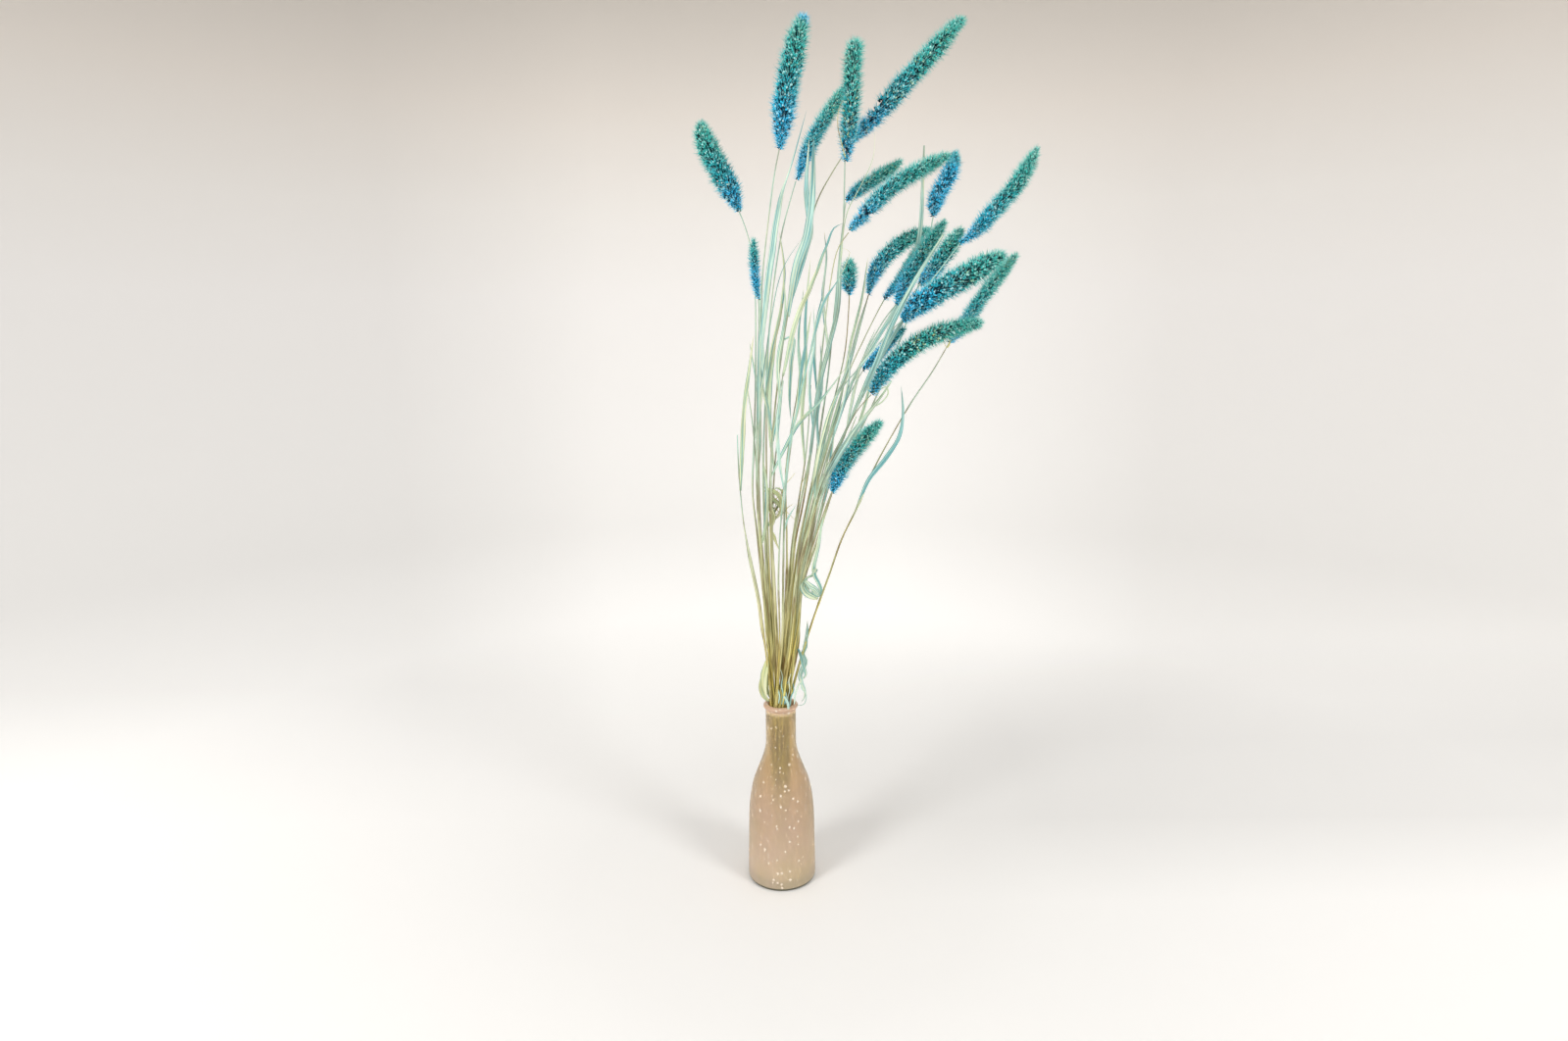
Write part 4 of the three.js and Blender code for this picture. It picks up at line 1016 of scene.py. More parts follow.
def bristles_on(places, ways, sizes, axis, dome, rng):
    """Bristles on every grain, which lean from the grain's own direction to that of its lobe."""
    each = BRISTLES_A_GRAIN
    roots = np.repeat(places + ways * (GRAIN_LONG * 0.5 * sizes)[:, None], each, axis=0)
    lean = np.repeat(ways * 0.5 + axis * 0.7, each, axis=0)
    lean = normal(lean + rng.normal(0, BRISTLE_SCATTER, lean.shape))
    shorter = np.clip(dome.repeat(each) / LONG_BRISTLE_DOME, 0.78, 1)
    lengths = rng.uniform(BRISTLE_MIN, BRISTLE_MAX, len(roots)) * shorter
    return spikes(roots, lean, lengths, BRISTLE_R)


print("each grain has", BRISTLES_A_GRAIN, "bristles of", BRISTLE_MIN, "to", BRISTLE_MAX, "mm")

# %% [markdown]
# ## What sets one head apart
# No two heads in the bunch are alike. Some are fuller or slimmer than the width in the list of strands,
# some taper to a thin base and some end blunt, a few lost lobes at the base, and some took more of the
# blue dye. Rows by the letter of the head hold these differences, so one function makes all the heads.

# %% Outline and lobes of a seed head
WIDTHS = dict(e=1.2, f=1.1, s=1.12, t=0.7, k=0.76, d=0.95, m=1.05, o=0.93)
THIN_BASES = "abcijst"
THIN_BASE, FULL_BASE = (0.42, 0.24), (0.6, 0.15)
TIP_TAPER = 0.14
BLUNT = dict(d=1.0, a=0.35, b=0.35, i=0.35)
BLUNT_OTHERS = 0.55
LOOSE_BASES = dict(d=0.16, e=0.3, g=0.22)
LOST_SHARE = 0.28
TURN_SCATTER = 0.16
LEAN, TIP_LEAN = math.radians(34), math.radians(78)


def head_radius(ident, full, run, grow):
    """Radius of a seed head along its line, with its base and its round or pointed end."""
    t = run / run[-1]
    radius = full * head_shape(t) * (1 - TIP_TAPER * ramp((t - 0.7) / 0.3)) * grow
    slim, reach = THIN_BASE if ident in THIN_BASES else FULL_BASE
    radius = radius * (slim + (1 - slim) * ramp(t / reach) ** 0.8)
    end_r = full * BLUNT.get(ident, BLUNT_OTHERS)
    dome = end_r * np.sqrt(1 - ramp(1 - (run[-1] - run) / end_r) ** 2)
    return np.maximum(radius, dome * (t > 0.6))


def head_lobes(ident, points, radius, rng):
    """The lobes of a seed head: centres, axes, radii and shares of the way to the tip."""
    run = run_along(points)
    along, side, up = frames_along(points)
    s, turn, dome = lobes_on(lambda s: np.interp(s, run, radius), run[-1])
    lost = (s < LOOSE_BASES.get(ident, 0) * run[-1]) & (rng.uniform(size=len(s)) < LOST_SHARE)
    s, turn, dome = s[~lost], turn[~lost], dome[~lost] * rng.uniform(0.86, 1.1, (~lost).sum())

    def at(values):
        return np.stack([np.interp(s, run, column) for column in values.T], axis=-1)

    turn = turn + rng.normal(0, TURN_SCATTER, len(turn))
    ahead = normal(at(along))
    out = normal(at(side) * np.cos(turn)[:, None] + at(up) * np.sin(turn)[:, None])
    reach = np.interp(s, run, radius) * rng.uniform(0.95, 1.06, len(s))
    tilt = LEAN + (TIP_LEAN - LEAN) * ramp((s / run[-1] - 0.9) / 0.1) ** 1.5
    axis = normal(out * np.cos(tilt)[:, None] + ahead * np.sin(tilt)[:, None])
    centre = at(points) + out * np.maximum(reach - dome - 0.5, 0.2)[:, None] - ahead * (dome * 0.3)[:, None]
    return centre, axis, dome, s / run[-1]


print("heads with a width of their own:", len(WIDTHS), "and with a thin base:", len(THIN_BASES))

# %% [markdown]
# ## One head from its parts
# Core, grains and bristles of a head go into one mesh, because they are one thing on the plant and share
# one material. The core closes the gaps, so no light shines through the head.

# %% Seed heads
HEAD_FINE_STEP = 2.0
CORE_SIDES = 12
CORE_SHARE = 0.6
CORE_CHANCE = 0.3
BLUE_HEADS = dict(h=1.0, q=0.8, t=0.5, f=-0.1, a=0.2, d=-0.15, j=0.1, l=0.1, c=0.1, n=0.1, p=-0.25, o=-0.1)
BLUE_TIPS = "a"
BLUE_TIP_FROM, BLUE_TIP_AS = 0.95, 0.24


def core_of(points, radius, blue):
    """The slim core under the grains, which closes the view between them: points and marks."""
    t = run_along(points) / run_along(points)[-1]
    along, side, up = frames_along(points)
    core_r = radius * CORE_SHARE * (0.3 + 0.7 * ramp(t / 0.3) ** 1.5)
    # The core's third mark is 0, the darkest painted shade, as it shows in the gaps between the lobes.
    marks = np.column_stack([t, t * 0 + CORE_CHANCE, t * 0, t * 0 + blue])
    return rings_round(points, side, up, core_r, core_r, CORE_SIDES), marks.repeat(CORE_SIDES, axis=0)


def head_piece(line):
    """One seed head as a mesh of its core, its grains and its bristles. Gives the number of grains."""
    ident = line["strand"]["id"]
    blue = BLUE_HEADS.get(ident, 0.0)
    rng = np.random.default_rng([17, ord(ident)])
    points, grow = settled(line, smooth(line["knots"], HEAD_FINE_STEP))
    radius = head_radius(ident, line["strand"]["r"] * WIDTHS.get(ident, 1), run_along(points), grow)
    centre, axis, dome, lobe_t = head_lobes(ident, points, radius, rng)
    parts = [grains_on(c, a, d, rng) for c, a, d in zip(centre, axis, dome)]
    places, ways, sizes, cos = (np.concatenate(column) for column in zip(*parts))
    owner = np.repeat(np.arange(len(dome)), [len(part[0]) for part in parts])
    grains, grain_faces = balls(places, ways, GRAIN_LONG * sizes, GRAIN_THICK * sizes)

    grain_t = lobe_t[owner]
    if ident in BLUE_TIPS:
        grain_t = np.where(grain_t > BLUE_TIP_FROM, BLUE_TIP_AS, grain_t)
    chance = rng.uniform(0, 1, len(places))
    # Painted shade: grains low at the edge of a lobe, in the gaps, are dark, and those at its top are light. The
    # random factor gives each grain a tone of its own and lifts some into the painted highlight.
    height = (0.08 + 0.78 * ramp((cos - 0.2) / 0.64)) * rng.uniform(0.45, 1.42, len(cos))
    grain_marks = np.column_stack([grain_t, chance, height, np.full(len(places), blue)])
    grain_marks = grain_marks.repeat(len(BALL), axis=0)
    # Painted shade on each grain: darker at its inner end and lighter at its outer end.
    grain_marks[:, 2] *= np.tile(0.6 + 0.4 * (BALL[:, 2] + 1) / 2, len(places))

    bristles, bristle_faces = bristles_on(places, ways, sizes, axis[owner], dome[owner], rng)
    bristle_marks = np.column_stack([grain_t, chance * 0.8, chance * 0, np.full(len(places), blue)])
    bristle_marks = bristle_marks.repeat(4 * BRISTLES_A_GRAIN, axis=0)
    # Each bristle draws a random place on the painted shade, so some carry the painted highlight, and its tip is
    # painted a little lighter.
    bristle_marks[:, 2] = rng.uniform(0.2, 1.0, len(bristles) // 4).repeat(4)
    bristle_marks[3::4, 2] += 0.12

    core, core_marks = core_of(points, radius, blue)
    faces = [tube_faces(len(points), CORE_SIDES), grain_faces + len(core),
             bristle_faces + len(core) + len(grains)]
    make_piece("grains_" + ident, np.vstack([core, grains, bristles]), faces,
               np.vstack([core_marks, grain_marks, bristle_marks]), HEAD_LOOK, "head_" + ident)
    return len(places)


grain_count = [head_piece(line) for line in lines if line["kind"] == "head"]
print("grains in all:", sum(grain_count), "most on one head:", max(grain_count))

# %% [markdown]
# ## Stems
# A grass stem is a hollow straw with nodes, the slightly swollen rings where a leaf's sheath starts. The
# sheath wraps the stem above the node and is a little thicker than it, and fades out further up. Dried, the
# stems are straw yellow to olive, with brown marks and fine streaks along their length. The marks of a stem
# are its height, a random number, how much of a sheath it has and how much it is a leaf blade.

# %% Dry straw
MARK_TOP_Z = 700
LOW_STRAWS = [(0.0, "D6BC54"), (0.3, "EADA80"), (0.55, "A4922E"), (0.75, "D8AE5C"), (1.0, "D0C660")]
HIGH_STRAWS = [(0.0, "BCC09A"), (0.35, "AACCBA"), (0.65, "9CD4CE"), (1.0, "B0A882")]
MINTS = [(0.34, "D8E4C4"), (0.42, "B8E0DA"), (0.5, "98D0D0"), (0.58, "5C9CA2")]
GOLD, BEHIND_GLASS = "EAD85C", "E4F4AC"
LOW_SHEATH, HIGH_SHEATH = "D2DEC2", "B2DACC"
DARK_STREAK, LIGHT_STREAK, BROWN_PATCH = "605C2C", "F2F0C8", "76562E"


def ribs(recipe):
    """The fine ribs that run down every straw and leaf, as a bump."""
    return recipe.bump(recipe.strips(4, 0.05), 0.5, 0.0003)


def straw_material():
    recipe = Recipe("dry straw")
    height, chance, wrap, blade = recipe.marks()
    golden = recipe.mix(recipe.fit(height, 0.28, 0.45, 0.62, 0), recipe.ramp(chance, LOW_STRAWS), GOLD)
    own = recipe.mix(recipe.fit(height, 0.30, 0.62), golden, recipe.ramp(chance, HIGH_STRAWS))
    hidden = recipe.mix(recipe.fit(height, 0.24, 0.25, 0.8, 0), own, BEHIND_GLASS)
    sheath = recipe.mix(recipe.fit(height, 0.45, 0.7), LOW_SHEATH, HIGH_SHEATH)
    wrapped = recipe.mix(recipe.times(wrap, recipe.fit(height, 0.3, 0.6, 0.3, 0.65)), hidden, sheath)
    bladed = recipe.mix(blade, wrapped, recipe.ramp(recipe.strips(1.5, 0.008), MINTS))
    streaks = recipe.strips(1.1, 0.02, 3)
    dark = recipe.times(recipe.fit(streaks, 0.52, 0.58), recipe.fit(height, 0.3, 0.8, 0.85, 0.4))
    streaked = recipe.mix(dark, bladed, DARK_STREAK)
    streaked = recipe.mix(recipe.fit(streaks, 0.36, 0.46, 0.45, 0), streaked, LIGHT_STREAK)
    patches = recipe.times(recipe.fit(height, 0.3, 0.7, 0.78, 0.4), recipe.math("SUBTRACT", 1.0, blade),
                           recipe.fit(recipe.spots(45, (1, 1, 0.35)), 0.52, 0.62))
    marked = recipe.mix(patches, streaked, BROWN_PATCH)
    return recipe.finish(Base_Color=marked, Roughness=0.6, Specular_IOR_Level=0.35, Normal=ribs(recipe))


STRAW_LOOK = straw_material()
print("material:", STRAW_LOOK.name)

# %% [markdown]
# ## Thickness of a stem
# A stem isn't an even tube. It tapers to its head, swells at its nodes and is thicker where a sheath wraps
# it, and three stems end as a flat blade. A half width for each ring holds all of this, which is simpler
# than a second skin for every sheath.

# %% Thickness of a stem
TAPER = 1.6
TIP_SHARE = 0.8
NODES = 8
NODE_SPACING = (85, 140)
NODE_LENGTH, NODE_SWELL = 2.6, 0.35
SHEATH_FADE, SHEATH_SWELL = 70, 0.22
SHEATH_START, SHEATH_END = 12, 25
SHEATH_MARK = 0.8
HIGH_SHEATH_Z = 400
BLADE_END = 70


def stem_thickness(strand, z, run, rng):
    """Half width of a stem at each point, and how much of a sheath, of a blade and of a tube it is there."""
    t = run / run[-1]
    bare = STEM_R + (TIP_SHARE * STEM_TIP_R - STEM_R) * t**TAPER
    node_runs = np.cumsum(rng.uniform(*NODE_SPACING, NODES)) + rng.uniform(0, 60)
    past = run[:, None] - node_runs
    swell = NODE_SWELL * np.exp(-(past / NODE_LENGTH) ** 2).sum(axis=1)
    wrap = np.where((past > 0) & (past < SHEATH_FADE), 1 - past / SHEATH_FADE, 0).max(axis=1) ** 0.6
    half = bare * (1 + swell + SHEATH_SWELL * wrap)
    blade = np.zeros(len(t))
    for low, high, width in strand.get("sheaths", []):
        inside = np.minimum(ramp((z - low) / SHEATH_START), ramp((high - z) / SHEATH_END))
        half = np.maximum(half, bare + (width / 2 - bare) * inside)
        wrap = np.maximum(wrap, inside * SHEATH_MARK)
        blade = np.maximum(blade, inside * SHEATH_MARK * (low > HIGH_SHEATH_Z))
    flatness = np.ones(len(t))
    if "blade" in strand:
        narrowing = 1 - 0.9 * ramp((run - run[-1] + BLADE_END) / BLADE_END) ** 1.3
        blade = ramp((z - strand["blade"]) / BLADE_RISE) * narrowing
        half = half * (1 - 0.5 * blade) + strand["w"] * blade / 2
        flatness = np.where(blade > 0.05, np.minimum(1, 0.45 * STEM_R / half), 1)
    return half, wrap, blade, flatness


print("a stem is", 2 * STEM_R, "mm thick in the neck and has a node every", *NODE_SPACING, "mm")

# %% [markdown]
# ## Tubes for the stems
# A curve with a bevel would give tubes too, but its thickness can't follow nodes and blades as closely.
# Rings of eight points along the line can. Each point also gets its lay, which is its place on the
# unrolled tube, because the material needs that for streaks that run along the stem.

# %% Stems with nodes and sheaths
STEM_SIDES = 8
STEM_FINE_STEP = 6.5
INSIDE_POINTS = 16
LAY_SHIFT = 20


def stem_flat(line):
    """The stem's front-view line at a fine step, from its foot up."""
    foot, low = np.array(line["low"][0][:2]), np.array(line["low"][1][:2])
    inside = foot + (low - foot) * np.linspace(0, 1, INSIDE_POINTS)[:, None]
    return np.vstack([inside, smooth(line["knots"], STEM_FINE_STEP)])


def stem_node(strand):
    """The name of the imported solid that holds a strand's stem and leaves."""
    return ("stem_" if "head" in strand else "leafy_stem_") + strand["id"]


def lay_round(run, half, number, around):
    """Where each point of a tube lies: mm to its side, along it and outwards, with a place of its own."""
    turn = np.arange(around) / around * 2 * math.pi
    rows = [half[:, None] * np.cos(turn) + LAY_SHIFT * number, run[:, None] + turn * 0,
            half[:, None] * np.sin(turn)]
    return np.stack(rows, axis=-1).reshape(-1, 3)


def pointed_ends(rings, around):
    """Triangles from the first and the last ring to the two points that follow all the rings."""
    k = np.arange(around)
    after = (k + 1) % around
    top = (rings - 1) * around
    first, last = rings * around + k * 0, rings * around + 1 + k * 0
    return np.vstack([np.stack([first, after, k], axis=-1), np.stack([top + k, top + after, last], axis=-1)])


def stem_piece(line, number):
    """One stem as a closed tube of rings with a pointed end."""
    strand = line["strand"]
    rng = np.random.default_rng([29, number])
    flat = stem_flat(line)
    points, grow = settled(line, flat)
    run = run_along(points)
    along, side, up = frames_along(points)
    half, wrap, blade, flatness = stem_thickness(strand, flat[:, 1], run, rng)
    rings = rings_round(points, side, up, half * grow, half * grow * flatness, STEM_SIDES)
    places = np.vstack([rings, points[:1], points[-1:] + along[-1:] * STEM_TIP_R])
    faces = [tube_faces(len(points), STEM_SIDES), pointed_ends(len(points), STEM_SIDES)]
    marks = np.column_stack([points[:, 2] / MARK_TOP_Z, run * 0 + rng.uniform(), wrap, blade * 0.9])
    marks = marks.repeat(STEM_SIDES, axis=0)
    lay = lay_round(run, half, number, STEM_SIDES)
    marks, lay = (np.vstack([rows, rows[:1], rows[-1:]]) for rows in (marks, lay))
    make_piece("straw_" + strand["id"], places, faces, marks, STRAW_LOOK, stem_node(strand), lay)


stems = [line for line in lines if line["kind"] == "stem"]
for number, line in enumerate(stems):
    stem_piece(line, number)
print("stems:", len(stems))

# %% [markdown]
# ## Leaves
# A dried grass leaf is a thin ribbon, folded a little along its rib, with a slow twist and a faint wave at
# its edges. It leaves the stem at a sheath and ends in a long point. Most leaves here took a pale mint
# tint, a few stayed straw green, and the lower ones turned a darker teal. The marks of a leaf are its share
# of the way to the point, a random number, the distance from its rib and its tint.

# %% Dyed leaf
PALE_LEAVES = [(0.0, "C8ECE8"), (0.35, "A2DADA"), (0.65, "D8EAD8"), (1.0, "AEDEDA")]
# Painted shade across a leaf: darker along the fold at its rib and at its edges.
PAINTED_FOLD_SHADE = [(0.0, "9CB8B4"), (0.22, "FFFFFF"), (0.8, "FFFFFF"), (1.0, "A8BEBA")]
STRAW_GREEN, DEEP_TEAL = "D6DCA6", "62A8A8"
AGED, DRY_TIP = "BDB47A", "C2B98E"
TEAL_STRIP, PALE_STRIP = "62A2A8", "EEF0D2"


def leaf_material():
    recipe = Recipe("dyed leaf")
    along, chance, edge, tint = recipe.marks()
    strawy = recipe.math("MINIMUM", recipe.fit(tint, 0.0, 0.5), recipe.fit(tint, 0.5, 0.75, 1, 0))
    toned = recipe.mix(strawy, recipe.ramp(chance, PALE_LEAVES), STRAW_GREEN)
    deep = recipe.mix(recipe.fit(tint, 0.5, 1.0), toned, DEEP_TEAL)
    old = recipe.times(recipe.fit(recipe.spots(40, (1, 1, 0.4)), 0.52, 0.7), 0.6)
    aged = recipe.mix(old, deep, AGED)
    tipped = recipe.mix(recipe.fit(along, 0.75, 1.0, 0, 0.35), aged, DRY_TIP)
    # Painted shade: the colour is darkened along the rib's fold and at the edges.
    fold_shaded = recipe.mix(0.7, tipped, recipe.ramp(edge, PAINTED_FOLD_SHADE), "MULTIPLY")
    strips = recipe.strips(0.8, 0.012, 3)
    teal = recipe.times(recipe.fit(strips, 0.52, 0.58, 0, 0.85), recipe.fit(strawy, 0.72, 0.92, 1, 0.3))
    lined = recipe.mix(teal, fold_shaded, TEAL_STRIP)
    lined = recipe.mix(recipe.fit(strips, 0.38, 0.45, 0.7, 0), lined, PALE_STRIP)
    return recipe.finish(Base_Color=lined, Roughness=0.62, Specular_IOR_Level=0.3, Normal=ribs(recipe))


LEAF_LOOK = leaf_material()
print("material:", LEAF_LOOK.name)

# %% [markdown]
# ## Ribbons
# A leaf could be a single sheet, but a part that is kept as solids needs closed meshes. So a leaf has two
# skins that meet at its edges, with a fold along the rib, a slow curl and a rippled edge.

# %% A folded ribbon
LEAF_HALF_T = 0.14
EDGE_THINNING = 0.6
FOLD = 0.42
CURL, CURL_BEAT = 0.28, 0.05
EDGE_STEPS = np.array([-1, -0.5, 0, 0.5, 1])
LAY_SPAN = 900


def ribbon(points, half, twist, rng, wave=0.2):
    """Places, faces, marks and lay of a thin closed ribbon along the points."""
    along, side, up = frames_along(points)
    run = run_along(points)
    t = run / run[-1]
    phase, beat = rng.uniform(0, 6.28, 2), rng.uniform(0.16, 0.3)
    twist = twist + CURL * np.sin(run * CURL_BEAT + phase[0])
    a = side * np.cos(twist)[:, None] + up * np.sin(twist)[:, None]
    out = np.cross(along, a)
    steps = np.r_[EDGE_STEPS, EDGE_STEPS[::-1]]
    faces_out = np.repeat([1, -1], len(EDGE_STEPS))
    rows = []
    for e, face in zip(steps, faces_out):
        ripple = wave * half * abs(e) * np.sin(run * beat + phase[int(e > 0)])
        thickness = face * LEAF_HALF_T * (1 - EDGE_THINNING * abs(e))
        rise = FOLD * half * (abs(e) ** 1.5 - 0.4) + ripple + thickness
        rows.append(points + a * (half * e)[:, None] + out * rise[:, None])
    around = len(rows)
    places = np.stack(rows, axis=1).reshape(-1, 3)
    marks = np.zeros((len(t), around, 4))
    marks[..., 0] = t[:, None]
    marks[..., 2] = np.abs(steps)
    lay = [half[:, None] * steps + rng.uniform(0, LAY_SPAN), run[:, None] + steps * 0,
           steps * np.zeros((len(t), 1))]
    ends = [np.arange(around)[None, ::-1], len(places) - around + np.arange(around)[None]]
    faces = [tube_faces(len(points), around), *ends]
    return places, faces, marks.reshape(-1, 4), np.stack(lay, axis=-1).reshape(-1, 3)


print("a leaf is", 2 * LEAF_HALF_T, "mm thick along its rib")

# %% [markdown]
# ## What sets one leaf apart
# Some leaves have a look of their own in the bunch. Rows by the stem's letter and the leaf's number tell
# where a leaf narrows to a wisp, which tint it has, and how much wider it is than its solid. All the others
# draw a pale tint at random.

# %% Leaves
LEAF_FINE_STEP = 4.5
WISPS = {"a0": 0.6, "d0": 0.05, "t0": 0.35, "40": 0.5}
WISP_THINNING = 0.6
TINTS = {"d1": 1.0, "o0": 0.75, "e0": 0.0, "e1": 0.0, "a0": 0.0, "i1": 0.5, "10": 0.4, "11": 0.5}
PALE_TINTS = (0, 0.35)
SPREAD = {"e0": 1.5, "e1": 1.4, "a0": 1.2, "11": 1.2}
THINNEST = 0.25
POINT_FROM, POINT_LENGTH = 0.93, 0.07


def leaf_twist(number, t):
    """How far a leaf is turned about its rib, from its root to its point."""
    return 0.3 * math.sin(number * 2.1) + 0.4 * math.sin(number + 2.2) * t


def leaf_piece(line):
    """One leaf, wide in the middle and narrowing to its point."""
    strand, leaf, k = line["strand"], line["leaf"], line["number"]
    key = strand["id"] + str(k)
    rng = np.random.default_rng([41, ord(strand["id"][-1]), k])
    step = min(LEAF_FINE_STEP, leaf.get("step", 2 * LEAF_FINE_STEP) / 2)
    points, grow = settled(line, smooth(line["knots"], step))
    t = np.linspace(0, 1, len(points))
    half = np.maximum(THINNEST, leaf["w"] / 2 * leaf_shape(t) * grow)
    half = half * SPREAD.get(key, 1) * (1 - 0.85 * ramp((t - POINT_FROM) / POINT_LENGTH) ** 1.5)
    if key in WISPS:
        half = half * (1 - WISP_THINNING * ramp((t - WISPS[key]) / 0.12))
    places, faces, marks, lay = ribbon(points, half, leaf_twist(strand["order"] + k, t), rng)
    marks[:, 1] = rng.uniform()
    marks[:, 3] = TINTS.get(key, rng.uniform(*PALE_TINTS))
    make_piece("leaf_" + strand["id"] + "_" + str(k), places, faces, marks, LEAF_LOOK,
               stem_node(strand), lay)


leaves = [line for line in lines if line["kind"] == "leaf"]
for line in leaves:
    leaf_piece(line)
print("leaves:", len(leaves))

# %% [markdown]
# ## Dry bits
# Low in the bunch hang dry bits of the stems' own leaves: a nest of straw fibres, a fold that curls round
# the stems, a turquoise scrap, a husk, short mint pieces at the mouth, and hair-thin twigs between the
# heads. Each is a small ribbon or a thin tube on a line of its own, at the depth of the stem it hangs on.

# %% Where the dry bits are
RIBBONS = [
    ("fold", "9", -4, 3.4, 0.5, [(-8, 349), (-5, 344), (-2, 336), (0, 330)]),
    ("scrap", "13", -5, 3.6, 0.8, [(17, 234), (20, 226), (22, 217), (24, 208), (22, 204)]),
    ("scrap_tip", "13", -5, 1.4, 0.7, [(21, 231), (23, 240), (25, 251), (26, 261)]),
    ("scrap_loop", "13", -6, 1.2, 0.1, [(22, 206), (20, 195), (24.5, 188), (22, 178), (16, 177)]),
    ("crumple", "r", -3, 7.5, 0.25, [(34, 312), (30, 306), (25, 303), (22, 296), (25, 289), (31, 285),
                                     (36, 283)]),
    ("crumple_lip", "r", -5, 5.5, 0.15, [(24, 300), (29, 295), (34, 292), (38, 285)]),
    ("husk", "5", -5, 6.5, 0.5, [(-12, 213), (-16, 205), (-17.5, 196), (-15, 186), (-11, 181)]),
    ("husk_in", "5", -4, 3.6, 0.5, [(-9, 210), (-12, 202), (-12.5, 193), (-10, 185)]),
    ("mouth_1", "13", -11, 2.0, 0, [(4, 178), (5, 186), (4, 194), (7, 201)]),
    ("mouth_2", "13", -9, 1.8, 0, [(9, 176), (10, 185), (12.5, 192), (12, 199)]),
    ("mouth_3", "4", -9, 1.8, 0.1, [(13, 178), (14, 187), (16.5, 196), (20, 203)]),
    ("lip_fold", "13", -14, 2.6, 0, [(3, 186), (5, 183), (7, 178), (7.5, 171)]),
    ("mouth_4", "13", -11, 1.5, 0, [(-2, 179), (-1, 187), (-3, 195), (-2, 203)]),
    ("mouth_5", "13", -10, 1.6, 0.1, [(6.5, 177), (7, 185), (9, 193), (8, 202), (10, 209)]),
    ("mouth_6", "13", -11.3, 1.3, 0, [(1, 178), (2.5, 188), (1, 197), (2, 206), (0, 214)]),
    ("nest_a", "2", -9, 5.5, 0.5, [(-12, 390), (-8, 382), (-9, 372), (-5, 362), (-7, 352)]),
    ("nest_b", "2", -8, 4.5, 0.5, [(-7, 387), (0, 381), (3, 373), (1, 365), (-4, 359)]),
    ("nest_c", "2", -7, 4.0, 0.5, [(-12, 374), (-6, 378), (0, 373), (4, 364)]),
    ("bract_d", "d", -3, 3.0, 0.7, [(-6, 441), (-9, 460), (-13, 478), (-15, 497)]),
    ("curl_98", "e", -4, 2.0, 0.3, [(88, 462), (94, 466), (99, 473), (97, 479), (92, 477)]),
]
HAIRS = [
    ("nest_1", "2", -3, [(-12, 364), (-7, 373), (-1, 380), (2, 387)]),
    ("nest_2", "2", -4, [(-10, 386), (-6, 377), (0, 371), (4, 362)]),
    ("nest_3", "2", -5, [(-9, 362), (-4, 366), (1, 375), (-1, 384), (-7, 388)]),
    ("nest_4", "2", -2, [(-11, 378), (-5, 383), (1, 379), (3, 370), (-3, 364)]),
    ("nest_5", "2", -6, [(-8, 370), (-3, 378), (3, 383), (4, 388)]),
    ("nest_6", "2", -4, [(-12, 371), (-6, 366), (0, 363), (5, 366)]),
    ("nest_7", "2", -6, [(-13, 386), (-9, 379), (-4, 374), (2, 377), (4, 384)]),
    ("nest_8", "2", -5, [(-7, 356), (-8, 364), (-3, 372), (-4, 381), (1, 389)]),
    ("nest_9", "2", -7, [(3, 360), (-1, 367), (-7, 372), (-8, 380), (-3, 386), (3, 381)]),
    ("twig_a", "2", -5, [(3, 373), (6, 367), (10, 363), (15, 358)]),
    ("twig_b", "2", -5, [(6, 367), (8, 370), (13, 373)]),
    ("twig_c", "13", -4, [(20, 385), (21, 392), (24, 399), (24, 405)]),
    ("thin_d", "2", -5, [(2, 383), (6, 391), (11, 397), (15, 402)]),
    ("fork_a", "o", -3, [(154, 520), (151, 513), (146.5, 519)]),
    ("fork_b", "o", -3, [(151, 513), (152.5, 519), (151.5, 523)]),
    ("wisp_d", "d", -10, [(59.5, 673), (56.5, 683), (53, 697), (53, 708), (55, 715), (58, 719)]),
]
print("dry bits:", len(RIBBONS), "ribbons and", len(HAIRS), "hairs")

# %% [markdown]
# Each row of a ribbon has its name, the stem that it hangs on, how far behind or in front of that stem it
# lies, its width, its tint and its line in the front view. A hair has no width and no tint in its row,
# because all of them are equally thin and take their colour from the straw.

# %% Dry bits on the stems
RIBBON_STEP, HAIR_STEP = 1.6, 2
HAIR_R = 0.36
HAIR_SIDES = 5
HAIR_MARK_Z = 0.36
HAIR_TONES = [0.3, 0.36, 0.42, 0.48]
HAIR_WRAP = 0.4


def on_stem(strand_id, flat, nearer):
    """Real places of front-view points at the depth of a stem, moved by a little to the front or back."""
    stem = next(line for line in stems if line["strand"]["id"] == strand_id)
    return from_front(flat[:, 0], flat[:, 1], depth_on(stem, flat[:, 1]) + nearer)


for number, (name, on, nearer, width, tint, path) in enumerate(RIBBONS):
    rng = np.random.default_rng([53, number])
    points = on_stem(on, smooth(path, RIBBON_STEP), nearer)
    t = np.linspace(0, 1, len(points))
    half = width / 2 * np.sin(math.pi * (0.12 + 0.8 * t)) ** 0.7
    places, faces, marks, lay = ribbon(points, half, 0.6 * np.sin(2.4 * t + number), rng, wave=0.3)
    marks[:, 1], marks[:, 3] = rng.uniform(), tint
    make_piece("dry_" + name, places, faces, marks, LEAF_LOOK, lay=lay)

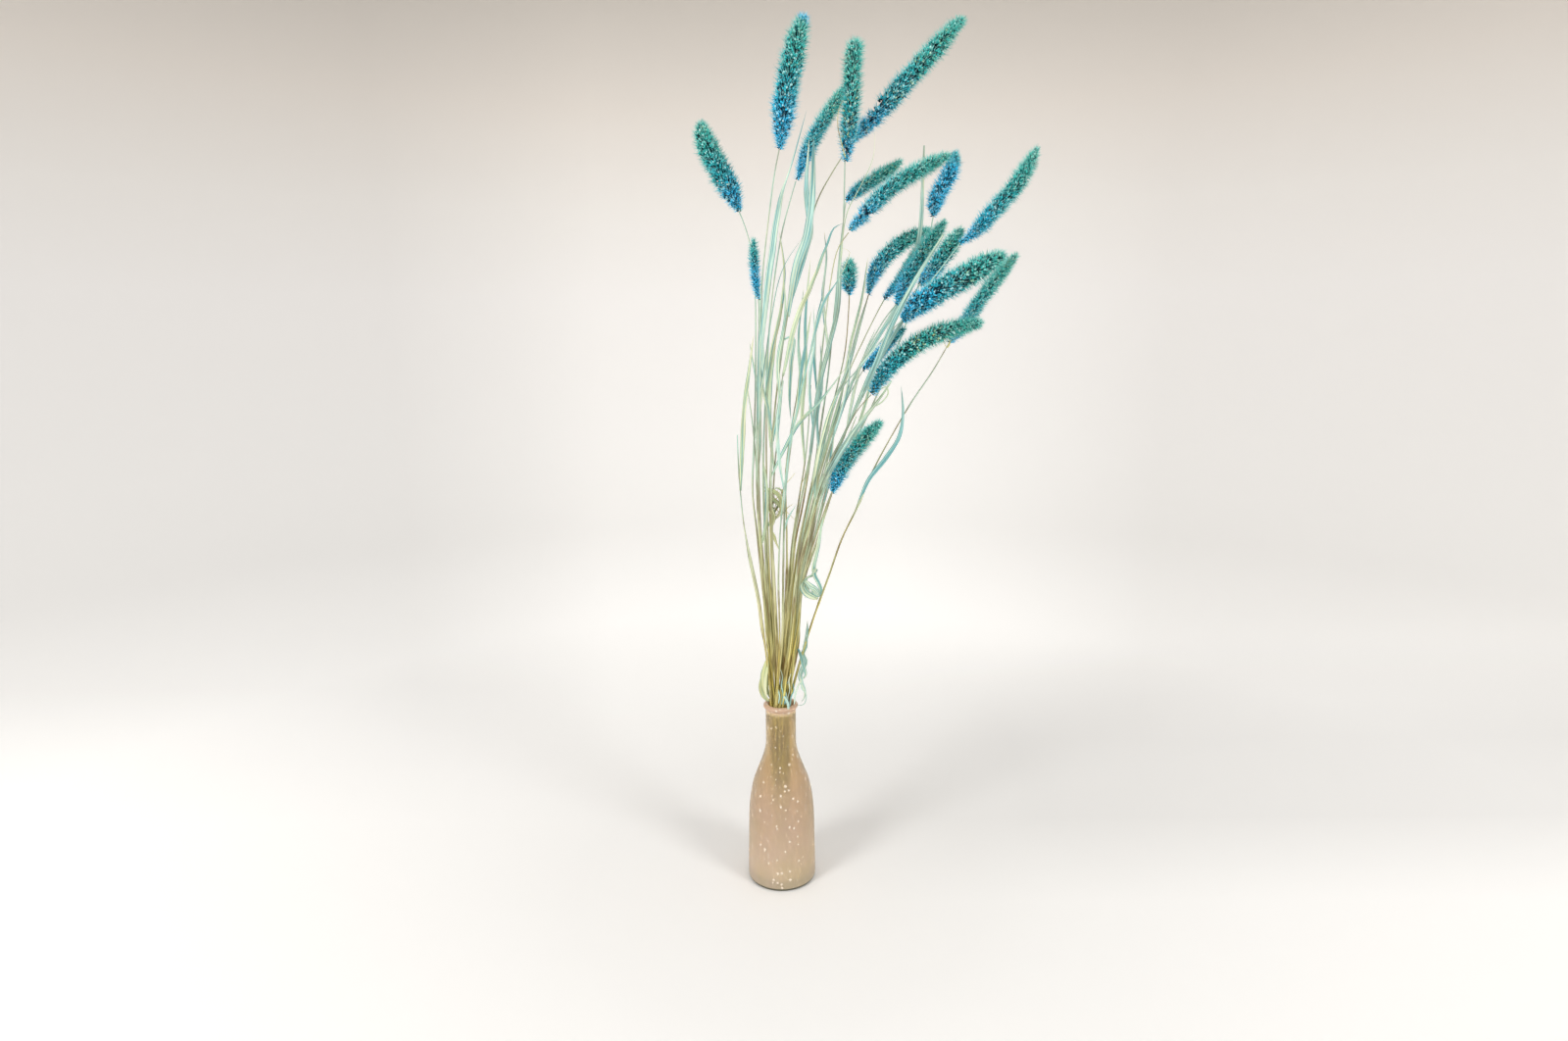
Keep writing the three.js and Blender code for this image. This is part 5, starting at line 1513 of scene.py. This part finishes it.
for number, (name, on, nearer, path) in enumerate(HAIRS):
    points = on_stem(on, smooth(path, HAIR_STEP), nearer)
    t = np.linspace(0, 1, len(points))
    along, side, up = frames_along(points)
    half = HAIR_R * (1.25 - 0.75 * t)
    rings = rings_round(points, side, up, half, half, HAIR_SIDES)
    marks = np.tile([HAIR_MARK_Z, HAIR_TONES[number % len(HAIR_TONES)], HAIR_WRAP, 0], (len(rings), 1))
    corners = np.arange(HAIR_SIDES)[None]
    faces = [tube_faces(len(points), HAIR_SIDES), corners[:, ::-1], corners + len(rings) - HAIR_SIDES]
    make_piece("hair_" + name, rings, faces, marks, STRAW_LOOK)

# %% [markdown]
# ## Vase
# A frosted glass bottle is blown in a mould, and its skin is then etched until it scatters light. Turning
# one outline round the axis gives both walls and the thick floor, so light really passes through glass,
# and the stems show in the neck and fade in the body, because the rough glass blurs what stands behind it.
# The skin is marred by specks and short scratches, which are paler and let less light through. Cells of a
# Voronoi texture give round specks of many sizes, and there are more of them in the neck than low down.

# %% Frosted glass
SALMON, SAND, AMBER = "F8E0C8", "EEDAB6", "F8E2B6"
RIM_PINK, SPECK, HEEL_SHADE = "E8C6AA", "FAECDC", "6A6A52"
SPECK_SCALE, SCRATCH_SCALE, GRIT_SCALE = 250, 330, 900
SPECK_R, SPECK_EDGE = 0.36, 0.06
LOW_Z, FADE_Z = (0.03, 0.08), (0.02, 0.125)
HEEL_Z, RIM_Z = (0.0022, 0.0034), (0.172, 0.175)


def marred_skin(recipe, z):
    """Where the skin is marred, from 0 to 1: specks in the cells that are picked, and scratches."""
    cells = recipe.node("ShaderNodeTexVoronoi", {"Vector": recipe.place(), "Scale": SPECK_SCALE})
    picked = recipe.node("ShaderNodeSeparateColor", {"Color": cells.outputs["Color"]}).outputs[0]
    left_out = recipe.fit(z, 0.07, 0.12, 0.42, 0.05)
    radius = recipe.fit(picked, left_out, 1, -0.05, SPECK_R)
    outside = recipe.math("SUBTRACT", cells.outputs["Distance"], radius)
    specks = recipe.fit(outside, -SPECK_EDGE, SPECK_EDGE, 1, 0)
    scratches = recipe.fit(recipe.spots(SCRATCH_SCALE, (1, 0.6, 0.6), 1), 0.72, 0.78, 0, 0.5)
    return recipe.math("MAXIMUM", specks, scratches)


def glass_material():
    recipe = Recipe("frosted glass")
    z = recipe.split(recipe.place())[2]
    marred = marred_skin(recipe, z)
    body = recipe.mix(recipe.fit(recipe.spots(15), 0.36, 0.62), SALMON, SAND)
    neck = recipe.mix(recipe.fit(z, 0.08, 0.16), body, AMBER)
    rim = recipe.mix(recipe.fit(z, *RIM_Z), neck, RIM_PINK)
    speckled = recipe.mix(recipe.times(marred, recipe.fit(z, *LOW_Z, 0.7, 0.85)), rim, SPECK)
    footed = recipe.mix(recipe.fit(z, *HEEL_Z, 1, 0), speckled, HEEL_SHADE)
    high = recipe.fit(z, *FADE_Z)
    blocked = recipe.times(marred, recipe.fit(z, *LOW_Z, 0.36, 0.55))
    clear = recipe.math("SUBTRACT", recipe.fit(high, 0, 1, 0.5, 0.9), blocked)
    clear = recipe.times(clear, recipe.fit(z, 0.170, 0.174, 1, 0.4))
    frost = recipe.fit(high, 0, 1, 0.48, 0.3)
    grit = recipe.bump(recipe.math("ADD", recipe.spots(GRIT_SCALE, detail=2), marred), 0.2, 0.0002)
    return recipe.finish(Base_Color=footed, Roughness=frost, IOR=1.45, Transmission_Weight=clear, Normal=grit)


GLASS_LOOK = glass_material()
print("material:", GLASS_LOOK.name)

# %% [markdown]
# ## Outline of the vase
# The outline runs up the outside and down the inside, as half of a section through the middle. Blender's
# Screw modifier turns such an outline too. In code the rows stay exact, and the wall has one thickness.

# %% The vase's outline
VASE_H, BODY_R, BASE_R, HEEL_H = 180, 33, 30, 4.5
NECK_R, RIM_R, LIP_H, MOUTH_R, GLASS = 14.5, 16.6, 4.8, 11.9, 2.6
LIP_INSET = 1.6
FLOOR_ROUND = 3
BODY = [(BODY_R, 14), (32.4, 38), (31.5, 72), (29.7, 88), (26.9, 101), (22.6, 113), (18, 125), (14.9, 137),
        (NECK_R, 147)]
WALL_STEP = 4


def round_corner(points, corner, radius, steps=5):
    """The outline with one of its corners rounded off."""
    a, b, c = (np.array(points[corner + j], float) for j in (-1, 0, 1))
    start = b + normal(a - b) * min(radius, np.linalg.norm(a - b) / 2)
    end = b + normal(c - b) * min(radius, np.linalg.norm(c - b) / 2)
    t = np.linspace(0, 1, steps)[:, None]
    arc = start * (1 - t) ** 2 + 2 * b * t * (1 - t) + end * t**2
    return [*points[:corner], *arc.tolist(), *points[corner + 1:]]


def vase_outline():
    """Radius and height from the middle of the base, over the lip, to the middle of the floor inside."""
    wall = smooth(BODY, WALL_STEP)
    turn = np.linspace(0, math.pi / 2, 9)
    heel = np.column_stack([BASE_R + (BODY_R - BASE_R) * np.sin(turn), HEEL_H * (1 - np.cos(turn))])
    lip_z = VASE_H - LIP_H - 1
    bulge = np.linspace(-0.42 * math.pi, 0.5 * math.pi, 12)
    lip_r = MOUTH_R + LIP_INSET + (RIM_R - MOUTH_R - LIP_INSET) * np.cos(bulge)
    lip = np.column_stack([lip_r, VASE_H - LIP_H / 2 + LIP_H / 2 * np.sin(bulge)])
    mouth = [(MOUTH_R + 0.6, VASE_H - 0.4), (MOUTH_R, VASE_H - 2)]
    inside = wall[::-1] - [GLASS, 0]
    inside = inside[inside[:, 1] < lip_z]
    floor = [(BODY_R - GLASS - 1, FLOOR_Z + 3), (BODY_R - GLASS - 5, FLOOR_Z), (0, FLOOR_Z)]
    rows = [(0, 0), (BASE_R - 3, 0), *heel, *wall[1:], (NECK_R, lip_z), *lip, *mouth, *inside, *floor]
    return round_corner(rows, len(rows) - 2, FLOOR_ROUND)


print("the outline has", len(vase_outline()), "points")

# %% The vase, turned
VASE_SIDES = 128


def turned(outline, sides):
    """Places and faces of an outline that is turned round the axis. Its two ends lie on the axis."""
    turn = np.arange(sides) / sides * 2 * math.pi
    rings = [np.column_stack([r * np.cos(turn), r * np.sin(turn), turn * 0 + z]) for r, z in outline[1:-1]]
    places = np.vstack([*rings, (0, 0, outline[0][1]), (0, 0, outline[-1][1])])
    return places, [tube_faces(len(rings), sides), pointed_ends(len(rings), sides)]


places, faces = turned(vase_outline(), VASE_SIDES)
vase = make_piece("bottle", places, faces, np.zeros((len(places), 4)), GLASS_LOOK, "vase")
print("vase:", len(places), "points,", [round(c / MM) for c in vase.dimensions], "mm")

# %% [markdown]
# ## Stage and light
# The bottle stands on a pale seamless paper that curves up into the wall, so no horizon shows. Two wide
# soft lights from the front and one from above leave only a faint shadow behind the bottle, and the camera
# doesn't see them. The wall is brightest in a wide pool behind the bunch, dimmer at both sides, and warmer
# and greyer with height. Lamps that did this would also change the light on the bunch, so these tones are
# in the paper's own material, which gives off a little light of its own. The pool widens towards the wall
# like a fan that opens from a point in front of the bottle.

# %% Paper's look
PAPER_TOP = 2.4
# The paper's own colour at the floor, and painted shade that makes it greyer and warmer with height.
PAPER_TONES_AND_PAINTED_SHADE = [(0.0, "F5F4F2"), (0.3, "F5F3F1"), (0.45, "F0EDE9"), (0.62, "E2DCD5"), (0.85, "C6C0B8"),
               (1.0, "B8B2AA")]
# SHADED is the colour of a painted shadow, and BLACK darkens the far left as painted shade.
SHADED, BLACK = "E6E5E3", "000000"
FAN_Y, FAN_LEAST = 0.8, 0.3
POOL_FADE_Y, POOL_MEAN = (-0.5, -0.2), 0.83


def paper_tone_and_painted_shade(recipe, x, y, z, side):
    """The paper's colour with painted shade: greyer with height, a painted shadow at the right of the bottle,
    and darker at the far left.
    """
    tone_with_painted_shade = recipe.ramp(recipe.fit(z, 0.0, PAPER_TOP), PAPER_TONES_AND_PAINTED_SHADE)
    # A painted shadow on the floor to the right of the bottle.
    right = recipe.times(recipe.fit(x, -0.05, 0.3), recipe.fit(y, -0.05, 0.1), recipe.fit(y, 0.3, 0.7, 1, 0))
    tone_with_painted_shade = recipe.mix(right, tone_with_painted_shade, SHADED)
    # Painted shade: the paper darkens towards the far left.
    left = recipe.times(recipe.fit(side, -0.43, -0.2, 0.13, 0), recipe.fit(y, 0.1, 0.5))
    return recipe.mix(left, tone_with_painted_shade, BLACK)


def paper_painted_light(recipe, place, y, z, side):
    """How much painted light the paper gives off, though it is no lamp: none under the bottle, most in a pool
    behind the bunch.
    """
    left, right = recipe.fit(side, -0.3, 0.1, 1.05, 1.42), recipe.fit(side, 0.12, 0.43, 1.4, 0.62)
    pool = recipe.times(recipe.math("MINIMUM", left, right), recipe.fit(y, *POOL_FADE_Y))
    pool = recipe.math("ADD", pool, recipe.fit(y, *POOL_FADE_Y, POOL_MEAN, 0))
    far = recipe.node("ShaderNodeVectorMath", {0: place}, operation="LENGTH").outputs["Value"]
    return recipe.times(recipe.fit(far, 0.2, 0.9, 0, 0.24), pool, recipe.fit(z, 0.15, 1.1, 1, 0.7))


def paper_material():
    recipe = Recipe("pale paper")
    place = recipe.place()
    x, y, z = recipe.split(place)
    fan = recipe.math("MAXIMUM", recipe.math("ADD", y, FAN_Y), FAN_LEAST)
    side = recipe.math("DIVIDE", x, fan)
    tone_with_painted_shade = paper_tone_and_painted_shade(recipe, x, y, z, side)
    fibre = recipe.bump(recipe.spots(300), 0.05, 0.0005)
    # The paper glows with painted light by its own emission, though it is no lamp.
    return recipe.finish(Base_Color=tone_with_painted_shade, Roughness=0.95, Specular_IOR_Level=0.05, Normal=fibre,
                         Emission_Color=tone_with_painted_shade, Emission_Strength=paper_painted_light(recipe, place, y, z, side))


PAPER_LOOK = paper_material()
PAPER_LOOK.cycles.emission_sampling = "NONE"
print("material:", PAPER_LOOK.name)

# %% [markdown]
# ## Shape of the paper
# A real backdrop is a roll of paper that hangs down and runs out over the table. One curve turned round
# the axis gives that bend on all sides, so the bottle can be looked at from anywhere.

# %% Paper stage
STAGE_R, CURVE_R, WALL_TOP = 3.2, 1.4, 4.2
STAGE_SIDES = 96


def stage_outline():
    """Radius and height of the paper, from under the bottle out to the wall and up."""
    turn = np.linspace(0, math.pi / 2, 17)
    curve = np.column_stack([STAGE_R - CURVE_R + CURVE_R * np.sin(turn), CURVE_R * (1 - np.cos(turn))])
    wall = [(STAGE_R, WALL_TOP * 0.6), (STAGE_R, WALL_TOP), (STAGE_R, WALL_TOP + 0.01)]
    return [(0, 0), (0.6, 0), (1.2, 0), *curve, *wall]


places, (round_faces, end_faces) = turned(stage_outline(), STAGE_SIDES)
floor_faces = end_faces[:STAGE_SIDES]
paper = bpy.data.meshes.new("paper")
paper.from_pydata(places.tolist(), [], [*round_faces.tolist(), *floor_faces.tolist()])
paper.materials.append(PAPER_LOOK)
paper.polygons.foreach_set("use_smooth", [True] * len(paper.polygons))
stage = bpy.data.objects.new("paper", paper)
bpy.context.scene.collection.objects.link(stage)
stage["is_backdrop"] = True
print("stage:", [round(c, 1) for c in stage.dimensions], "m")

# %% [markdown]
# ## Lamps
# Large lamps give soft shadows, because they light the object from many directions at once. A faint sky
# fills in what they leave dark.

# %% Lights
LIGHTS = [
    ("left", (-1.5, -1.5, 1.7), (0, 0, 0.3), 0.9, 26),
    ("right", (1.6, -1.5, 1.8), (0, 0, 0.3), 0.9, 22.5),
    ("above", (0.1, 0.0, 2.7), (0, 0.1, 0.3), 2.2, 17),
]
SKY, SKY_TINT = 0.3, (0.985, 0.995, 1.01, 1)


def area_light(name, place, aim, size, power):
    """A round soft light at a place, turned to what it is aimed at."""
    data = bpy.data.lights.new(name, "AREA")
    data.shape, data.size, data.energy = "DISK", size, power
    light = bpy.data.objects.new(name, data)
    light.location = place
    light.rotation_euler = (Vector(aim) - Vector(place)).to_track_quat("-Z", "Y").to_euler()
    light.visible_camera = False
    bpy.context.scene.collection.objects.link(light)
    light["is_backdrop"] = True


for row in LIGHTS:
    area_light(*row)
world = bpy.data.worlds.new("sky")
world.use_nodes = True
world.node_tree.nodes["Background"].inputs["Color"].default_value = SKY_TINT
world.node_tree.nodes["Background"].inputs["Strength"].default_value = SKY
bpy.context.scene.world = world
bpy.context.scene.view_settings.view_transform = "Standard"
print("lights:", [row[0] for row in LIGHTS], "and a sky of", SKY)

# %% [markdown]
# ## Sizes
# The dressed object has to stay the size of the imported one.

# %% Sizes and the end
boxes = {"packed": [list(corner) for corner in CAD_BOX], "dressed": [list(corner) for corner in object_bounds()]}
for name, box in boxes.items():
    print(name, "box in mm:", [[round(c / MM, 1) for c in corner] for corner in box])
